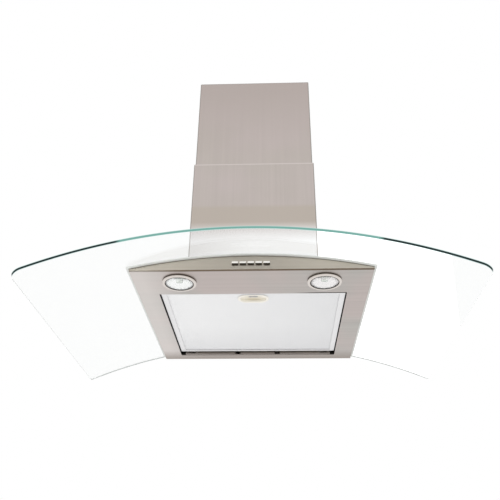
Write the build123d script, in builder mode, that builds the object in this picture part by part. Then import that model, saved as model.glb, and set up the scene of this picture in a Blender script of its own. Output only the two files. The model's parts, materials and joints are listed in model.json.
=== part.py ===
from build123d import *

import math
import os

os.makedirs("parts", exist_ok=True)

# Island range hood with an arched glass canopy, hung from the ceiling on a telescopic frame.
# Frame: millimetres, +Z up, the buttons face -Y, +X is to the right of someone facing them.
# The origin is the middle of the ceiling plate's upper face.

# Overall sizes
hood_height = 620.0  # ceiling down to the flat steel underside, as photographed
pan_width = 495.0
pan_depth = 504.0
glass_width = 898.0
glass_front_overhang = 100.0
glass_rear_overhang = 3.0
glass_radius = 1121.0  # underside of the arch
glass_thickness = 6.0
glass_front_corner = 24.0
glass_rear_corner = 6.0
chimney_width = 291.0  # outside of the lower section
lower_chimney_top = 351.0  # above the underside
chimney_overlap = 41.0  # left between the two sections when the hood is let right down
height_extend = 140.0  # how far the hood can be let down from here
height_retract = 60.0  # how far it can be pushed up from here

# Sheet thicknesses
pan_sheet = 1.0
top_sheet = 0.8
panel_sheet = 1.2
chimney_sheet = 0.8
box_sheet = 1.0
angle_sheet = 2.0
scroll_sheet = 1.5
filter_sheet = 0.8

# Filter opening and grease filter
opening_front_margin = 108.0
opening_rear_margin = 31.0
opening_side_margin = 45.0
filter_gap = 2.0
filter_rear_gap = 9.0
filter_recess = 5.0
filter_thickness = 8.5
filter_headroom = 1.2
filter_border = 12.0
filter_fit = 0.2
mesh_thickness = 1.0
lip_drop = 1.5  # the lip around the opening stops this far below the top of the filter
tab_spacing = 104.0
tab_width = 12.0
tab_thickness = 1.5
tab_reach = 3.0  # past the rear lip
tab_clearance = 1.0
notch_foot = 1.5  # underside to the foot of the notches that the tabs sit in
leaf_inset = 25.5  # filter's side to the middle of a spring
leaf_length = 32.0
leaf_height = 5.5
leaf_sheet = 0.5
leaf_clearance = 0.3

# Filter latch
cup_length = 68.0
cup_width = 38.0
cup_rim = 4.0
cup_wall = 1.0
cup_gap = 3.0  # filter's border to the rim of the cup
cup_headroom = 0.4  # above the tongue
cup_clearance = 0.3
tongue_width = 20.0
tongue_thickness = 2.0
tongue_rise = 3.4  # filter's lower face to the tongue
tongue_reach = 2.5  # past the front lip
tongue_clearance = 0.3
finger_tab_sheet = 2.0
finger_tab_drop = 2.6
finger_tab_setback = 6.0  # in front of the middle of the cup

# Lamps
lamp_spacing = 302.0
lamp_inset = 51.0  # front edge of the underside to the middle of a lamp
lens_window_radius = 28.5
lens_lap = 2.0  # how far the lens lies over the ring's lip
lens_thickness = 2.3
lens_crown = 1.4
lens_ledge = 0.5
lens_fit = 0.1
lens_headroom = 0.4
can_lap = 1.5  # outside of the can past the lens window
lamp_wall = 1.0
lamp_flange = 3.0
lamp_flange_sheet = 1.2
lamp_clearance = 0.3
ring_wall = 2.7
ring_round = 2.0
reflector_sheet = 0.6
reflector_floor_radius = 10.0
bulb_radius = 3.5
bulb_length = 13.0
bulb_base = 7.0
bulb_base_height = 4.0
bulb_gap = 0.1

# Control panel and push buttons
panel_gap = 0.6
panel_return = 10.0
button_count = 5
button_pitch = 16.0
button_width = 13.2
button_height = 6.4
button_corner = 1.2
button_proud = 4.0
button_tail = 8.0  # behind the panel
button_travel = 3.0
button_clearance = 0.3
button_rise = 15.0  # underside to the middle of the buttons
switch_margin = 6.0
switch_height = 18.0
switch_depth = 24.0

# Seal and glass bolts
gasket_thickness = 2.0
gasket_width = 12.0
gasket_overhang = 6.0  # past the body at the front and the sides
gasket_rear_overhang = 2.5
glass_bolt_radius = 3.0
glass_hole_clearance = 2.0
glass_bolt_head_radius = 8.5
glass_bolt_head = 4.5
glass_bolt_dome = 3.6
glass_nut_radius = 5.0
glass_nut = 4.5
glass_washer_radius = 9.0
glass_washer = 1.5
washer_relief = 0.05  # keeps a flat washer off the curve of the glass
front_bolt_spacing = 156.0
front_bolt_inset = 47.0
rear_bolt_spacing = 360.0
rear_bolt_inset = 24.0

# Blower box, telescopic frame and chimney fixings
frame_clearance = 9.9  # heads of the clamp screws to the upper chimney section
box_height = 300.0  # underside to the top of the blower box
box_flange = 14.0
cutout_clearance = 3.0
cutout_corner = 10.0
chimney_gap = 2.2
chimney_corner = 3.0
chimney_seat_gap = 0.5
plate_thickness = 3.0
plate_flange = 20.0
plate_flange_sheet = 1.5
plate_clearance = 0.3
duct_clearance = 5.5
ceiling_bolt_spacing = 180.0
ceiling_bolt_hole = 4.5
angle_leg = 26.0
slide_gap = 0.3
lower_upright_top = 390.0  # above the underside
upright_foot_gap = 5.0  # crown of the glass to the foot of a lower upright
clamp_drop = 20.0  # top of a lower upright to its clamp screws
bracket_length = 60.0
bracket_height = 24.0
bracket_rise = 20.0  # crown of the glass to the bracket
bracket_sheet = 1.5
bracket_screw_spacing = 36.0
chimney_screw_spacing = 160.0

# Screws
screw_clearance = 0.1
clamp_radius = 2.4
clamp_slack = 0.4
clamp_head_radius = 4.5
clamp_head = 2.5
clamp_tail = 3.0
small_radius = 1.9
small_head_radius = 3.5
small_head = 2.0
small_tail = 4.0

# Blower
impeller_width = 100.0
impeller_disc = 2.0
impeller_ring = 1.5
blade_count = 30
blade_depth = 10.0
blade_sheet = 1.0
blade_angle = 35.0
hub_radius = 12.0
hub_length = 24.0
shaft_radius = 4.0
shaft_fit = 0.05
shaft_tail = 2.0
hub_fit = 0.02
tongue_gap = 8.0  # impeller to the start of the scroll
scroll_step = 11.0
scroll_side_gap = 6.0
scroll_wall_gap = 5.5
inlet_lap = 2.0  # inlet's edge inside the blades
inlet_rise = 35.0  # crown of the glass to the bottom of the scroll
motor_inlet_gap = 8.0
motor_gap = 2.0
motor_round = 4.0
spider_sheet = 2.0
spider_standoff = 6.0  # scroll's side to the end of the motor
spider_arm = 14.0
spider_arms = 3
spider_foot = 10.0
spider_bore = 10.0
spider_overlap = 16.0  # how far an arm lies over the scroll's side past the inlet

# Outlet collar and its two flaps
collar_radius = 74.5
collar_wall = 2.0
collar_height = 50.0
collar_flange = 13.5
collar_flange_sheet = 2.0
collar_screw_count = 4
flap_rise = 22.0
flap_sheet = 1.2
flap_clearance = 1.6
flap_seat_gap = 0.3
ledge_width = 3.0
ledge_height = 2.0
hinge_pin_radius = 2.0
hinge_pin_short = 1.0
hinge_fit = 0.05
knuckle_wall = 1.3
knuckle_gap = 2.0
knuckle_split = 28.0  # half length of the middle knuckle
knuckle_end = 60.0
flap_hinge_gap = 0.8

# Electrical pieces in the blower box
terminal_size = (40.0, 80.0, 60.0)
terminal_drop = 80.0  # lid of the box to the middle of the case
transformer_size = (45.0, 60.0, 40.0)
transformer_drop = 170.0
capacitor_radius = 14.0
capacitor_length = 50.0
capacitor_foot = 3.0
capacitor_drop = 25.0
case_round = 3.0

# Worked-out places
base_z = -hood_height
pan_front = -pan_depth / 2
pan_rear = pan_depth / 2
sheet_front = pan_front + panel_sheet + panel_gap
opening_width = pan_width - 2 * opening_side_margin
opening_front = pan_front + opening_front_margin
opening_rear = pan_rear - opening_rear_margin
filter_width = opening_width - 2 * filter_gap
filter_front = opening_front + filter_gap
filter_low = base_z + filter_recess
filter_round = filter_thickness / 2
filter_axis_y = opening_rear - filter_rear_gap - filter_round
filter_axis_z = filter_low + filter_round
lip_height = filter_recess + filter_thickness - lip_drop
gasket_radius = glass_radius - gasket_thickness
wall_radius = gasket_radius - top_sheet
glass_top_radius = glass_radius + glass_thickness
side_rise = filter_recess + filter_thickness + filter_headroom
arch_centre_z = base_z + side_rise - math.sqrt(wall_radius**2 - (filter_width / 2) ** 2)
crown_z = arch_centre_z + glass_top_radius
glass_front = pan_front - glass_front_overhang
glass_rear = pan_rear + glass_rear_overhang
box_top_z = base_z + box_height
upper_chimney_length = hood_height - lower_chimney_top + height_extend + chimney_overlap
upper_chimney_width = chimney_width - 2 * (chimney_sheet + chimney_gap)
frame_depth = clamp_head + 2 * angle_sheet + slide_gap
box_width = upper_chimney_width - 2 * (chimney_sheet + frame_clearance + frame_depth)
box_inside = box_width - 2 * box_sheet
plate_width = upper_chimney_width - 2 * (chimney_sheet + plate_clearance)
lower_angle_face = box_width / 2
upper_angle_face = lower_angle_face + angle_sheet + slide_gap
upper_angle_outer = upper_angle_face + angle_sheet
clamp_z = base_z + lower_upright_top - clamp_drop
bracket_z = crown_z + bracket_rise + bracket_height / 2
cup_y = filter_front + filter_border + cup_gap + cup_width / 2
cup_depth = tongue_rise + tongue_thickness + cup_headroom + cup_wall - filter_sheet
cup_inner_length = cup_length - 2 * cup_rim
cup_inner_width = cup_width - 2 * cup_rim
mesh_low = filter_low + filter_sheet
pocket_height = filter_thickness - 2 * filter_sheet
pocket_rear = filter_axis_y - filter_round
tongue_low = filter_low + tongue_rise
lamp_y = pan_front + lamp_inset
lens_radius = lens_window_radius + lens_lap
lamp_can_radius = lens_window_radius + can_lap
ring_radius = lamp_can_radius + lamp_flange + lamp_clearance + ring_wall
lens_seat = lamp_flange_sheet + lens_headroom + lens_thickness + lens_fit
ring_drop = lens_seat + lens_ledge
lamp_can_height = (
    bulb_gap + 2 * bulb_radius + bulb_base_height + reflector_sheet + lamp_clearance + lamp_wall
)
button_z = base_z + button_rise
scroll_radius = (box_inside / 2 - scroll_wall_gap) / 1.5 - scroll_step
impeller_radius = scroll_radius - tongue_gap
inlet_radius = impeller_radius - blade_depth - inlet_lap
motor_radius = inlet_radius - motor_inlet_gap
scroll_half_width = impeller_width / 2 + scroll_side_gap
outlet_right = scroll_step / 2 + scroll_radius + 2 * scroll_step
outlet_left = -scroll_step / 2
scroll_x = -(outlet_right + outlet_left) / 2
scroll_z = crown_z + inlet_rise + scroll_step / 2 + scroll_radius + scroll_step
motor_start = hub_length / 2 + motor_gap
motor_end = scroll_half_width + spider_standoff
collar_bore = collar_radius - collar_wall
duct_hole_radius = collar_radius + duct_clearance
flap_z = box_top_z + flap_rise
flap_radius = collar_bore - flap_clearance
knuckle_radius = hinge_pin_radius + knuckle_wall
hinge_hole = hinge_pin_radius + hinge_fit

upward = (Align.CENTER, Align.CENTER, Align.MIN)
downward = (Align.CENTER, Align.CENTER, Align.MAX)
sides = (("left", -1), ("right", 1))
ends = (("front", -1), ("rear", 1))
corners = [(f"{end}_{side}", sx, sy) for end, sy in ends for side, sx in sides]
blower_plane = Plane(origin=(scroll_x, 0, scroll_z), x_dir=(1, 0, 0), z_dir=(0, 1, 0))


def save(piece, name):
    piece.part.label = name
    export_step(piece.part, f"parts/{name}.step")


def arch_z(radius, x):
    return arch_centre_z + math.sqrt(radius**2 - x**2)


def cross_plane(y):
    return Plane(origin=(0, y, 0), x_dir=(1, 0, 0), z_dir=(0, -1, 0))


def arch_plane(radius, x, y):
    height = arch_z(radius, x)
    return Plane(origin=(x, y, height), x_dir=(0, 1, 0), z_dir=(x, 0, height - arch_centre_z))


def side_plane(side, x, y, z):
    return Plane(origin=(side * x, y, z), x_dir=(0, 1, 0), z_dir=(side, 0, 0))


def arched_prism(width, low_z, radius, front, rear):
    # Flat below, upright sides, arched above
    half = width / 2
    shoulder = arch_z(radius, half)
    with BuildPart() as prism:
        with BuildSketch(cross_plane(front)):
            with BuildLine():
                Polyline((-half, shoulder), (-half, low_z), (half, low_z), (half, shoulder))
                ThreePointArc((-half, shoulder), (0, arch_z(radius, 0)), (half, shoulder))
            make_face()
        extrude(amount=front - rear)
    return prism.part


def arched_band(low_radius, high_radius, width, front, rear):
    # A sheet bent to the arch, with upright side edges
    half = width / 2
    with BuildPart() as band:
        with BuildSketch(cross_plane(front)):
            with BuildLine():
                low = ThreePointArc(
                    (-half, arch_z(low_radius, half)),
                    (0, arch_z(low_radius, 0)),
                    (half, arch_z(low_radius, half)),
                )
                high = ThreePointArc(
                    (-half, arch_z(high_radius, half)),
                    (0, arch_z(high_radius, 0)),
                    (half, arch_z(high_radius, half)),
                )
                Line(low @ 0, high @ 0)
                Line(low @ 1, high @ 1)
            make_face()
        extrude(amount=front - rear)
    return band.part


def screw(shank_radius, shank, head_radius, head):
    # Seated at z = 0, head above and shank below
    with BuildPart() as pattern:
        Cylinder(head_radius, head, align=upward)
        fillet(pattern.edges().group_by(Axis.Z)[-1], head / 2)
        Cylinder(shank_radius, shank, align=downward)
    return pattern.part


def square_tube(outside, sheet, low_z, high_z):
    with BuildPart() as tube:
        with BuildSketch(Plane.XY.offset(low_z)):
            RectangleRounded(outside, outside, chimney_corner)
            inside = outside - 2 * sheet
            RectangleRounded(inside, inside, chimney_corner - sheet, mode=Mode.SUBTRACT)
        extrude(amount=high_z - low_z)
    return tube.part


def angle_bar(sx, sy, face, leg, low_z, high_z):
    # Upright angle whose inside corner stands at (face, face) in the given quarter
    outer = face + angle_sheet
    with BuildPart() as bar:
        with BuildSketch(Plane.XY.offset(low_z)):
            with Locations((sx * (outer - leg / 2), sy * (outer - leg / 2))):
                Rectangle(leg, leg)
            with Locations((sx * (face - leg / 2), sy * (face - leg / 2))):
                Rectangle(leg, leg, mode=Mode.SUBTRACT)
        extrude(amount=high_z - low_z)
    return bar.part


def clamp_planes(sx, sy, face):
    # Where the two clamp screws of one upright cross the given face
    along = upper_angle_outer - angle_leg / 2
    across_x = Plane(origin=(sx * face, sy * along, clamp_z), x_dir=(0, 0, 1), z_dir=(sx, 0, 0))
    across_y = Plane(origin=(sx * along, sy * face, clamp_z), x_dir=(0, 0, 1), z_dir=(0, sy, 0))
    return [across_x, across_y]


def scroll_prism(inset, top_z, front, rear):
    # Spiral of three quarter arcs that opens into an upright outlet
    half = scroll_step / 2
    first = scroll_radius - inset
    second = first + scroll_step
    third = second + scroll_step
    rise = top_z - scroll_z
    left = outlet_left + inset
    plane = Plane(origin=(scroll_x, front, scroll_z), x_dir=(1, 0, 0), z_dir=(0, -1, 0))
    with BuildPart() as prism:
        with BuildSketch(plane):
            with BuildLine():
                Polyline((third + half, half), (third + half, rise), (left, rise), (left, first - half))
                if inset > 0:
                    Line((left, first - half), (-half, first - half))
                CenterArc((-half, -half), first, 90, 90)
                CenterArc((half, -half), second, 180, 90)
                CenterArc((half, half), third, 270, 90)
            make_face()
        extrude(amount=front - rear)
    return prism.part


def case_on_wall(size, drop):
    # A small case screwed to the right-hand wall inside the blower box
    with BuildPart() as case:
        with Locations((box_inside / 2 - size[0] / 2, 0, box_top_z - drop)):
            Box(*size)
        fillet(case.faces().sort_by(Axis.X)[0].edges(), case_round)
    return case


clamp_screw = screw(
    clamp_radius, 2 * angle_sheet + slide_gap + clamp_tail, clamp_head_radius, clamp_head
)
small_screw = screw(small_radius, small_tail, small_head_radius, small_head)
glass_bolt_planes = [
    arch_plane(glass_top_radius, sx * spacing / 2, y)
    for spacing, y in (
        (front_bolt_spacing, pan_front + front_bolt_inset),
        (rear_bolt_spacing, pan_rear - rear_bolt_inset),
    )
    for name, sx in sides
]
upper_screw_planes = [
    side_plane(sx, upper_chimney_width / 2, sy * chimney_screw_spacing / 2, -plate_flange / 2)
    for name, sx, sy in corners
]
lower_screw_planes = [
    side_plane(sx, chimney_width / 2, sy * bracket_screw_spacing / 2, bracket_z)
    for name, sx, sy in corners
]
small_hole = small_radius + screw_clearance

# Ceiling plate: a shallow tray, open for the duct, bolted to the ceiling
with BuildPart() as ceiling_plate:
    Box(plate_width, plate_width, plate_flange, align=downward)
    fillet(ceiling_plate.edges().filter_by(Axis.Z), chimney_corner)
    with Locations((0, 0, -plate_thickness)):
        tray = plate_width - 2 * plate_flange_sheet
        Box(tray, tray, plate_flange, align=downward, mode=Mode.SUBTRACT)
    Hole(duct_hole_radius)
    with GridLocations(ceiling_bolt_spacing, ceiling_bolt_spacing, 2, 2):
        Hole(ceiling_bolt_hole)
    with Locations(*upper_screw_planes):
        Cylinder(small_hole, 2 * small_tail, mode=Mode.SUBTRACT)
save(ceiling_plate, "ceiling_plate")

# Upper uprights: slotted angles welded under the ceiling plate by their feet
slot_middle = (height_retract - height_extend) / 2
slot_width = 2 * (clamp_radius + clamp_slack)
slot_length = height_extend + height_retract + slot_width
for corner, sx, sy in corners:
    with BuildPart() as upper_upright:
        add(angle_bar(sx, sy, upper_angle_face, angle_leg, -upper_chimney_length, -plate_thickness))
        foot = upper_angle_outer - angle_leg / 2
        with Locations((sx * foot, sy * foot, -plate_thickness)):
            Box(angle_leg, angle_leg, angle_sheet, align=downward)
        with BuildSketch(*clamp_planes(sx, sy, upper_angle_outer)):
            with Locations((slot_middle, 0)):
                SlotOverall(slot_length, slot_width)
        extrude(amount=-2 * angle_sheet, mode=Mode.SUBTRACT)
    save(upper_upright, f"upper_upright_{corner}")

# Upper chimney section, screwed to the ceiling plate's flanges
with BuildPart() as upper_chimney:
    add(square_tube(upper_chimney_width, chimney_sheet, -upper_chimney_length, 0))
    with Locations(*upper_screw_planes):
        Cylinder(small_hole, 2 * small_tail, mode=Mode.SUBTRACT)
save(upper_chimney, "upper_chimney")

with BuildPart() as upper_chimney_screws:
    with Locations(*upper_screw_planes):
        add(small_screw)
save(upper_chimney_screws, "upper_chimney_screws")

# Lower uprights: plain angles on the corners of the blower box, inside the upper ones
for corner, sx, sy in corners:
    with BuildPart() as lower_upright:
        low_z = crown_z + upright_foot_gap
        add(angle_bar(sx, sy, lower_angle_face, angle_leg, low_z, base_z + lower_upright_top))
        with Locations(*clamp_planes(sx, sy, lower_angle_face)):
            Cylinder(clamp_radius + screw_clearance, 4 * angle_sheet, mode=Mode.SUBTRACT)
    save(lower_upright, f"lower_upright_{corner}")

with BuildPart() as clamp_screws:
    for corner, sx, sy in corners:
        with Locations(*clamp_planes(sx, sy, upper_angle_outer)):
            add(clamp_screw)
save(clamp_screws, "clamp_screws")

# Lower chimney section: its foot is cut to the arch of the glass
with BuildPart() as lower_chimney:
    low_z = arch_z(glass_top_radius, chimney_width / 2)
    add(square_tube(chimney_width, chimney_sheet, low_z, base_z + lower_chimney_top))
    foot_radius = glass_top_radius + chimney_seat_gap
    foot_width = chimney_width + 2 * chimney_corner
    add(
        arched_prism(foot_width, base_z, foot_radius, -chimney_width, chimney_width),
        mode=Mode.SUBTRACT,
    )
    with Locations(*lower_screw_planes):
        Cylinder(small_hole, 2 * small_tail, mode=Mode.SUBTRACT)
save(lower_chimney, "lower_chimney")

with BuildPart() as lower_chimney_screws:
    with Locations(*lower_screw_planes):
        add(small_screw)
save(lower_chimney_screws, "lower_chimney_screws")

# Channels between the blower box and the lower chimney section
with BuildPart() as chimney_brackets:
    span = (chimney_width - box_width) / 2 - chimney_sheet
    for name, sx in sides:
        with Locations((sx * (box_width / 2 + span / 2), 0, bracket_z)):
            Box(span, bracket_length, bracket_height)
        with Locations((sx * (box_width / 2 + span / 2), 0, bracket_z + bracket_sheet)):
            Box(span - 2 * bracket_sheet, bracket_length, bracket_height, mode=Mode.SUBTRACT)
    with Locations(*lower_screw_planes):
        Cylinder(small_hole, 2 * small_tail, mode=Mode.SUBTRACT)
save(chimney_brackets, "chimney_brackets")

# Blower box: four walls and a lid, with a foot flange bent to the arch under the glass
with BuildPart() as blower_box:
    with BuildSketch(Plane.XY.offset(base_z)):
        Rectangle(box_width, box_width)
    extrude(amount=box_height)
    flange_half = box_width / 2 + box_flange
    add(
        arched_prism(2 * flange_half, base_z, gasket_radius, -box_width, box_width),
        mode=Mode.SUBTRACT,
    )
    add(arched_band(gasket_radius, gasket_radius + box_sheet, 2 * flange_half, -flange_half, flange_half))
    with BuildSketch(Plane.XY.offset(base_z)):
        Rectangle(box_inside, box_inside)
    extrude(amount=box_height - box_sheet, mode=Mode.SUBTRACT)
    with Locations((0, 0, box_top_z)):
        Cylinder(collar_bore, 4 * box_sheet, mode=Mode.SUBTRACT)
save(blower_box, "blower_box")

# Arched steel top of the body, under the glass
with BuildPart() as canopy_top:
    add(arched_band(wall_radius, gasket_radius, pan_width, pan_front, pan_rear))
    with Locations((0, 0, base_z)):
        Box(box_inside, box_inside, box_height, mode=Mode.SUBTRACT)
    with Locations(*glass_bolt_planes):
        Cylinder(glass_bolt_radius + screw_clearance, 4 * glass_thickness, mode=Mode.SUBTRACT)
save(canopy_top, "canopy_top")

# Arched glass canopy: rounded corners, a square cut-out for the blower box and four bolt holes
with BuildPart() as glass_canopy:
    top_half = glass_width / 2
    low_half = top_half * glass_radius / glass_top_radius
    with BuildSketch(cross_plane(glass_front)):
        with BuildLine():
            low = ThreePointArc(
                (-low_half, arch_z(glass_radius, low_half)),
                (0, arch_z(glass_radius, 0)),
                (low_half, arch_z(glass_radius, low_half)),
            )
            high = ThreePointArc(
                (-top_half, arch_z(glass_top_radius, top_half)),
                (0, crown_z),
                (top_half, arch_z(glass_top_radius, top_half)),
            )
            Line(low @ 0, high @ 0)
            Line(low @ 1, high @ 1)
        make_face()
    extrude(amount=glass_front - glass_rear)
    corner_edges = glass_canopy.edges().sort_by(SortBy.LENGTH)[:4]
    fillet(corner_edges.group_by(Axis.Y)[0], glass_front_corner)
    fillet(corner_edges.group_by(Axis.Y)[-1], glass_rear_corner)
    with BuildSketch(Plane.XY.offset(base_z)):
        cutout = box_width + 2 * cutout_clearance
        RectangleRounded(cutout, cutout, cutout_corner)
    extrude(amount=box_height, mode=Mode.SUBTRACT)
    with Locations(*glass_bolt_planes):
        Cylinder(glass_bolt_radius + glass_hole_clearance, 4 * glass_thickness, mode=Mode.SUBTRACT)
save(glass_canopy, "glass_canopy")

# Seal strip between the body and the glass
with BuildPart() as glass_gasket:
    seal_width = pan_width + 2 * gasket_overhang
    seal_front = pan_front - gasket_overhang
    seal_rear = pan_rear + gasket_rear_overhang
    add(arched_band(gasket_radius, glass_radius, seal_width, seal_front, seal_rear))
    with Locations((0, 0, base_z)):
        Box(pan_width - 2 * gasket_width, pan_depth - 2 * gasket_width, box_height, mode=Mode.SUBTRACT)
save(glass_gasket, "glass_gasket")

# Glass bolts: domed head above the glass, nut under the steel top
with BuildPart() as glass_bolt:
    grip = glass_thickness + gasket_thickness + top_sheet + washer_relief
    with Locations((0, 0, glass_washer)):
        Cylinder(glass_bolt_head_radius, glass_bolt_head, align=upward)
    fillet(glass_bolt.edges().group_by(Axis.Z)[-1], glass_bolt_dome)
    with Locations((0, 0, glass_washer)):
        Cylinder(glass_bolt_radius, glass_washer + grip + glass_nut, align=downward)
    with BuildSketch(Plane.XY.offset(-grip)):
        RegularPolygon(glass_nut_radius, 6)
    extrude(amount=-glass_nut)

with BuildPart() as glass_bolts:
    with Locations(*glass_bolt_planes):
        add(glass_bolt.part)
save(glass_bolts, "glass_bolts")

# Rubber washers above and below the glass at each bolt
with BuildPart() as washer_pair:
    with Locations((0, 0, glass_washer)):
        Cylinder(glass_washer_radius, glass_washer - washer_relief, align=downward)
    with Locations((0, 0, -glass_thickness - washer_relief)):
        Cylinder(glass_washer_radius, gasket_thickness - 2 * washer_relief, align=downward)
    Hole(glass_bolt_radius + screw_clearance)

with BuildPart() as glass_washers:
    with Locations(*glass_bolt_planes):
        add(washer_pair.part)
save(glass_washers, "glass_washers")

# Bottom pan: flat underside with low sides, a crescent back and a lip around the filter opening
with BuildPart() as bottom_pan:
    add(arched_prism(pan_width, base_z, wall_radius, sheet_front, pan_rear))
    add(
        arched_prism(
            pan_width - 2 * pan_sheet, base_z + pan_sheet, glass_radius, sheet_front, pan_rear - pan_sheet
        ),
        mode=Mode.SUBTRACT,
    )
    opening_middle = (opening_front + opening_rear) / 2
    opening_depth = opening_rear - opening_front
    with BuildSketch(Plane.XY.offset(base_z)):
        with Locations((0, opening_middle)):
            Rectangle(opening_width + 2 * pan_sheet, opening_depth + 2 * pan_sheet)
    extrude(amount=lip_height)
    with BuildSketch(Plane.XY.offset(base_z)):
        with Locations((0, opening_middle)):
            Rectangle(opening_width, opening_depth)
    extrude(amount=lip_height, mode=Mode.SUBTRACT)
    # Notches in the lip for the latch tongue and the filter's rear tabs
    with Locations((0, opening_front - pan_sheet / 2, tongue_low - tongue_clearance)):
        Box(
            tongue_width + 2 * tongue_clearance,
            2 * pan_sheet,
            lip_height,
            align=upward,
            mode=Mode.SUBTRACT,
        )
    with Locations((0, opening_rear + pan_sheet / 2, base_z + notch_foot)):
        with GridLocations(tab_spacing, pan_sheet, 2, 1):
            Box(tab_width + 2 * tab_clearance, 2 * pan_sheet, lip_height, align=upward, mode=Mode.SUBTRACT)
    with Locations((0, lamp_y, base_z)):
        with GridLocations(lamp_spacing, lamp_inset, 2, 1):
            Cylinder(lamp_can_radius + lamp_clearance, 4 * pan_sheet, mode=Mode.SUBTRACT)
save(bottom_pan, "bottom_pan")

# Control panel: the crescent front, folded in over the pan
with BuildPart() as control_panel:
    add(arched_prism(pan_width, base_z, wall_radius, pan_front, pan_front + panel_sheet))
    with Locations((0, pan_front + panel_sheet, base_z + pan_sheet)):
        Box(opening_width, panel_return, panel_sheet, align=(Align.CENTER, Align.MIN, Align.MIN))
    with BuildSketch(cross_plane(pan_front)):
        with Locations((0, button_z)):
            with GridLocations(button_pitch, button_pitch, button_count, 1):
                RectangleRounded(
                    button_width + 2 * button_clearance,
                    button_height + 2 * button_clearance,
                    button_corner + button_clearance,
                )
    extrude(amount=-panel_sheet, mode=Mode.SUBTRACT)
save(control_panel, "control_panel")

# Switch block behind the panel, with a pocket for each button
with BuildPart() as switch_block:
    switch_front = pan_front + panel_sheet
    switch_width = (button_count - 1) * button_pitch + button_width + 2 * switch_margin
    with Locations((0, switch_front, button_z)):
        Box(switch_width, switch_depth, switch_height, align=(Align.CENTER, Align.MIN, Align.CENTER))
    with BuildSketch(cross_plane(switch_front)):
        with Locations((0, button_z)):
            with GridLocations(button_pitch, button_pitch, button_count, 1):
                RectangleRounded(
                    button_width + 2 * button_clearance,
                    button_height + 2 * button_clearance,
                    button_corner + button_clearance,
                )
    extrude(amount=-(button_tail + button_travel + button_clearance), mode=Mode.SUBTRACT)
save(switch_block, "switch_block")

for index in range(button_count):
    with BuildPart() as push_button:
        with BuildSketch(cross_plane(pan_front - button_proud)):
            with Locations(((index - (button_count - 1) / 2) * button_pitch, button_z)):
                RectangleRounded(button_width, button_height, button_corner)
        extrude(amount=-(button_proud + panel_sheet + button_tail))
        fillet(push_button.faces().sort_by(Axis.Y)[0].edges(), button_corner / 2)
    save(push_button, f"push_button_{index + 1}")

# Filter frame: a thin aluminium channel with a rolled rear edge that the filter hangs and turns on
with BuildPart() as filter_frame:
    frame_middle = (filter_front + filter_axis_y) / 2
    with Locations((0, frame_middle, filter_low)):
        Box(filter_width, filter_axis_y - filter_front, filter_thickness, align=upward)
    with Locations((0, filter_axis_y, filter_axis_z)):
        Cylinder(filter_round, filter_width, rotation=(0, 90, 0))
    pocket_front = filter_front + filter_sheet
    with Locations((0, (pocket_front + pocket_rear) / 2, mesh_low)):
        Box(
            filter_width - 2 * filter_sheet,
            pocket_rear - pocket_front,
            pocket_height,
            align=upward,
            mode=Mode.SUBTRACT,
        )
    window_front = filter_front + filter_border
    window_rear = filter_axis_y + filter_round - filter_border
    with Locations((0, (window_front + window_rear) / 2, filter_low)):
        Box(
            filter_width - 2 * filter_border,
            window_rear - window_front,
            filter_thickness,
            align=upward,
            mode=Mode.SUBTRACT,
        )
    with Locations((0, filter_front, tongue_low - tongue_clearance)):
        Box(
            tongue_width + 2 * tongue_clearance,
            4 * filter_sheet,
            tongue_thickness + 2 * tongue_clearance,
            align=upward,
            mode=Mode.SUBTRACT,
        )
    tab_length = filter_round + filter_rear_gap + pan_sheet + tab_reach
    with Locations((0, filter_axis_y + tab_length / 2, filter_axis_z)):
        with GridLocations(tab_spacing, tab_length, 2, 1):
            Box(tab_width, tab_length, tab_thickness)
save(filter_frame, "filter_frame")

# Layers held in the channel: the face mesh and the pad behind it
pack_width = filter_width - 2 * (filter_sheet + filter_fit)
pack_front = filter_front + filter_sheet + filter_fit
pack_rear = pocket_rear - filter_fit
pack_middle = (pack_front + pack_rear) / 2
cup_hole = (cup_inner_length + 2 * cup_clearance, cup_inner_width + 2 * cup_clearance)
with BuildPart() as filter_mesh:
    with BuildSketch(Plane.XY.offset(mesh_low)):
        with Locations((0, pack_middle)):
            Rectangle(pack_width, pack_rear - pack_front)
        with Locations((0, cup_y)):
            SlotOverall(*cup_hole, mode=Mode.SUBTRACT)
    extrude(amount=mesh_thickness)
save(filter_mesh, "filter_mesh")

with BuildPart() as filter_core:
    with BuildSketch(Plane.XY.offset(mesh_low + mesh_thickness)):
        with Locations((0, pack_middle)):
            Rectangle(pack_width, pack_rear - pack_front)
        with Locations((0, cup_y)):
            SlotOverall(*cup_hole, mode=Mode.SUBTRACT)
        with Locations((0, (pack_front + cup_y) / 2)):
            Rectangle(tongue_width + 2 * tongue_clearance, cup_y - pack_front, mode=Mode.SUBTRACT)
    extrude(amount=pocket_height - mesh_thickness - filter_fit)
save(filter_core, "filter_core")

# Latch cup: a finger dish in the face of the filter, open towards the front for the tongue
with BuildPart() as latch_cup:
    with BuildSketch(Plane.XY.offset(mesh_low - cup_wall)):
        with Locations((0, cup_y)):
            SlotOverall(cup_length, cup_width)
    extrude(amount=cup_wall)
    with BuildSketch(Plane.XY.offset(mesh_low)):
        with Locations((0, cup_y)):
            SlotOverall(cup_inner_length, cup_inner_width)
    extrude(amount=cup_depth)
    with BuildSketch(Plane.XY.offset(mesh_low - cup_wall)):
        with Locations((0, cup_y)):
            SlotOverall(cup_inner_length - 2 * cup_wall, cup_inner_width - 2 * cup_wall)
    extrude(amount=cup_depth, mode=Mode.SUBTRACT)
    with Locations((0, cup_y, tongue_low - tongue_clearance)):
        Box(
            tongue_width + 2 * tongue_clearance,
            cup_width,
            tongue_thickness + 2 * tongue_clearance,
            align=(Align.CENTER, Align.MAX, Align.MIN),
            mode=Mode.SUBTRACT,
        )
save(latch_cup, "latch_cup")

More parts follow.
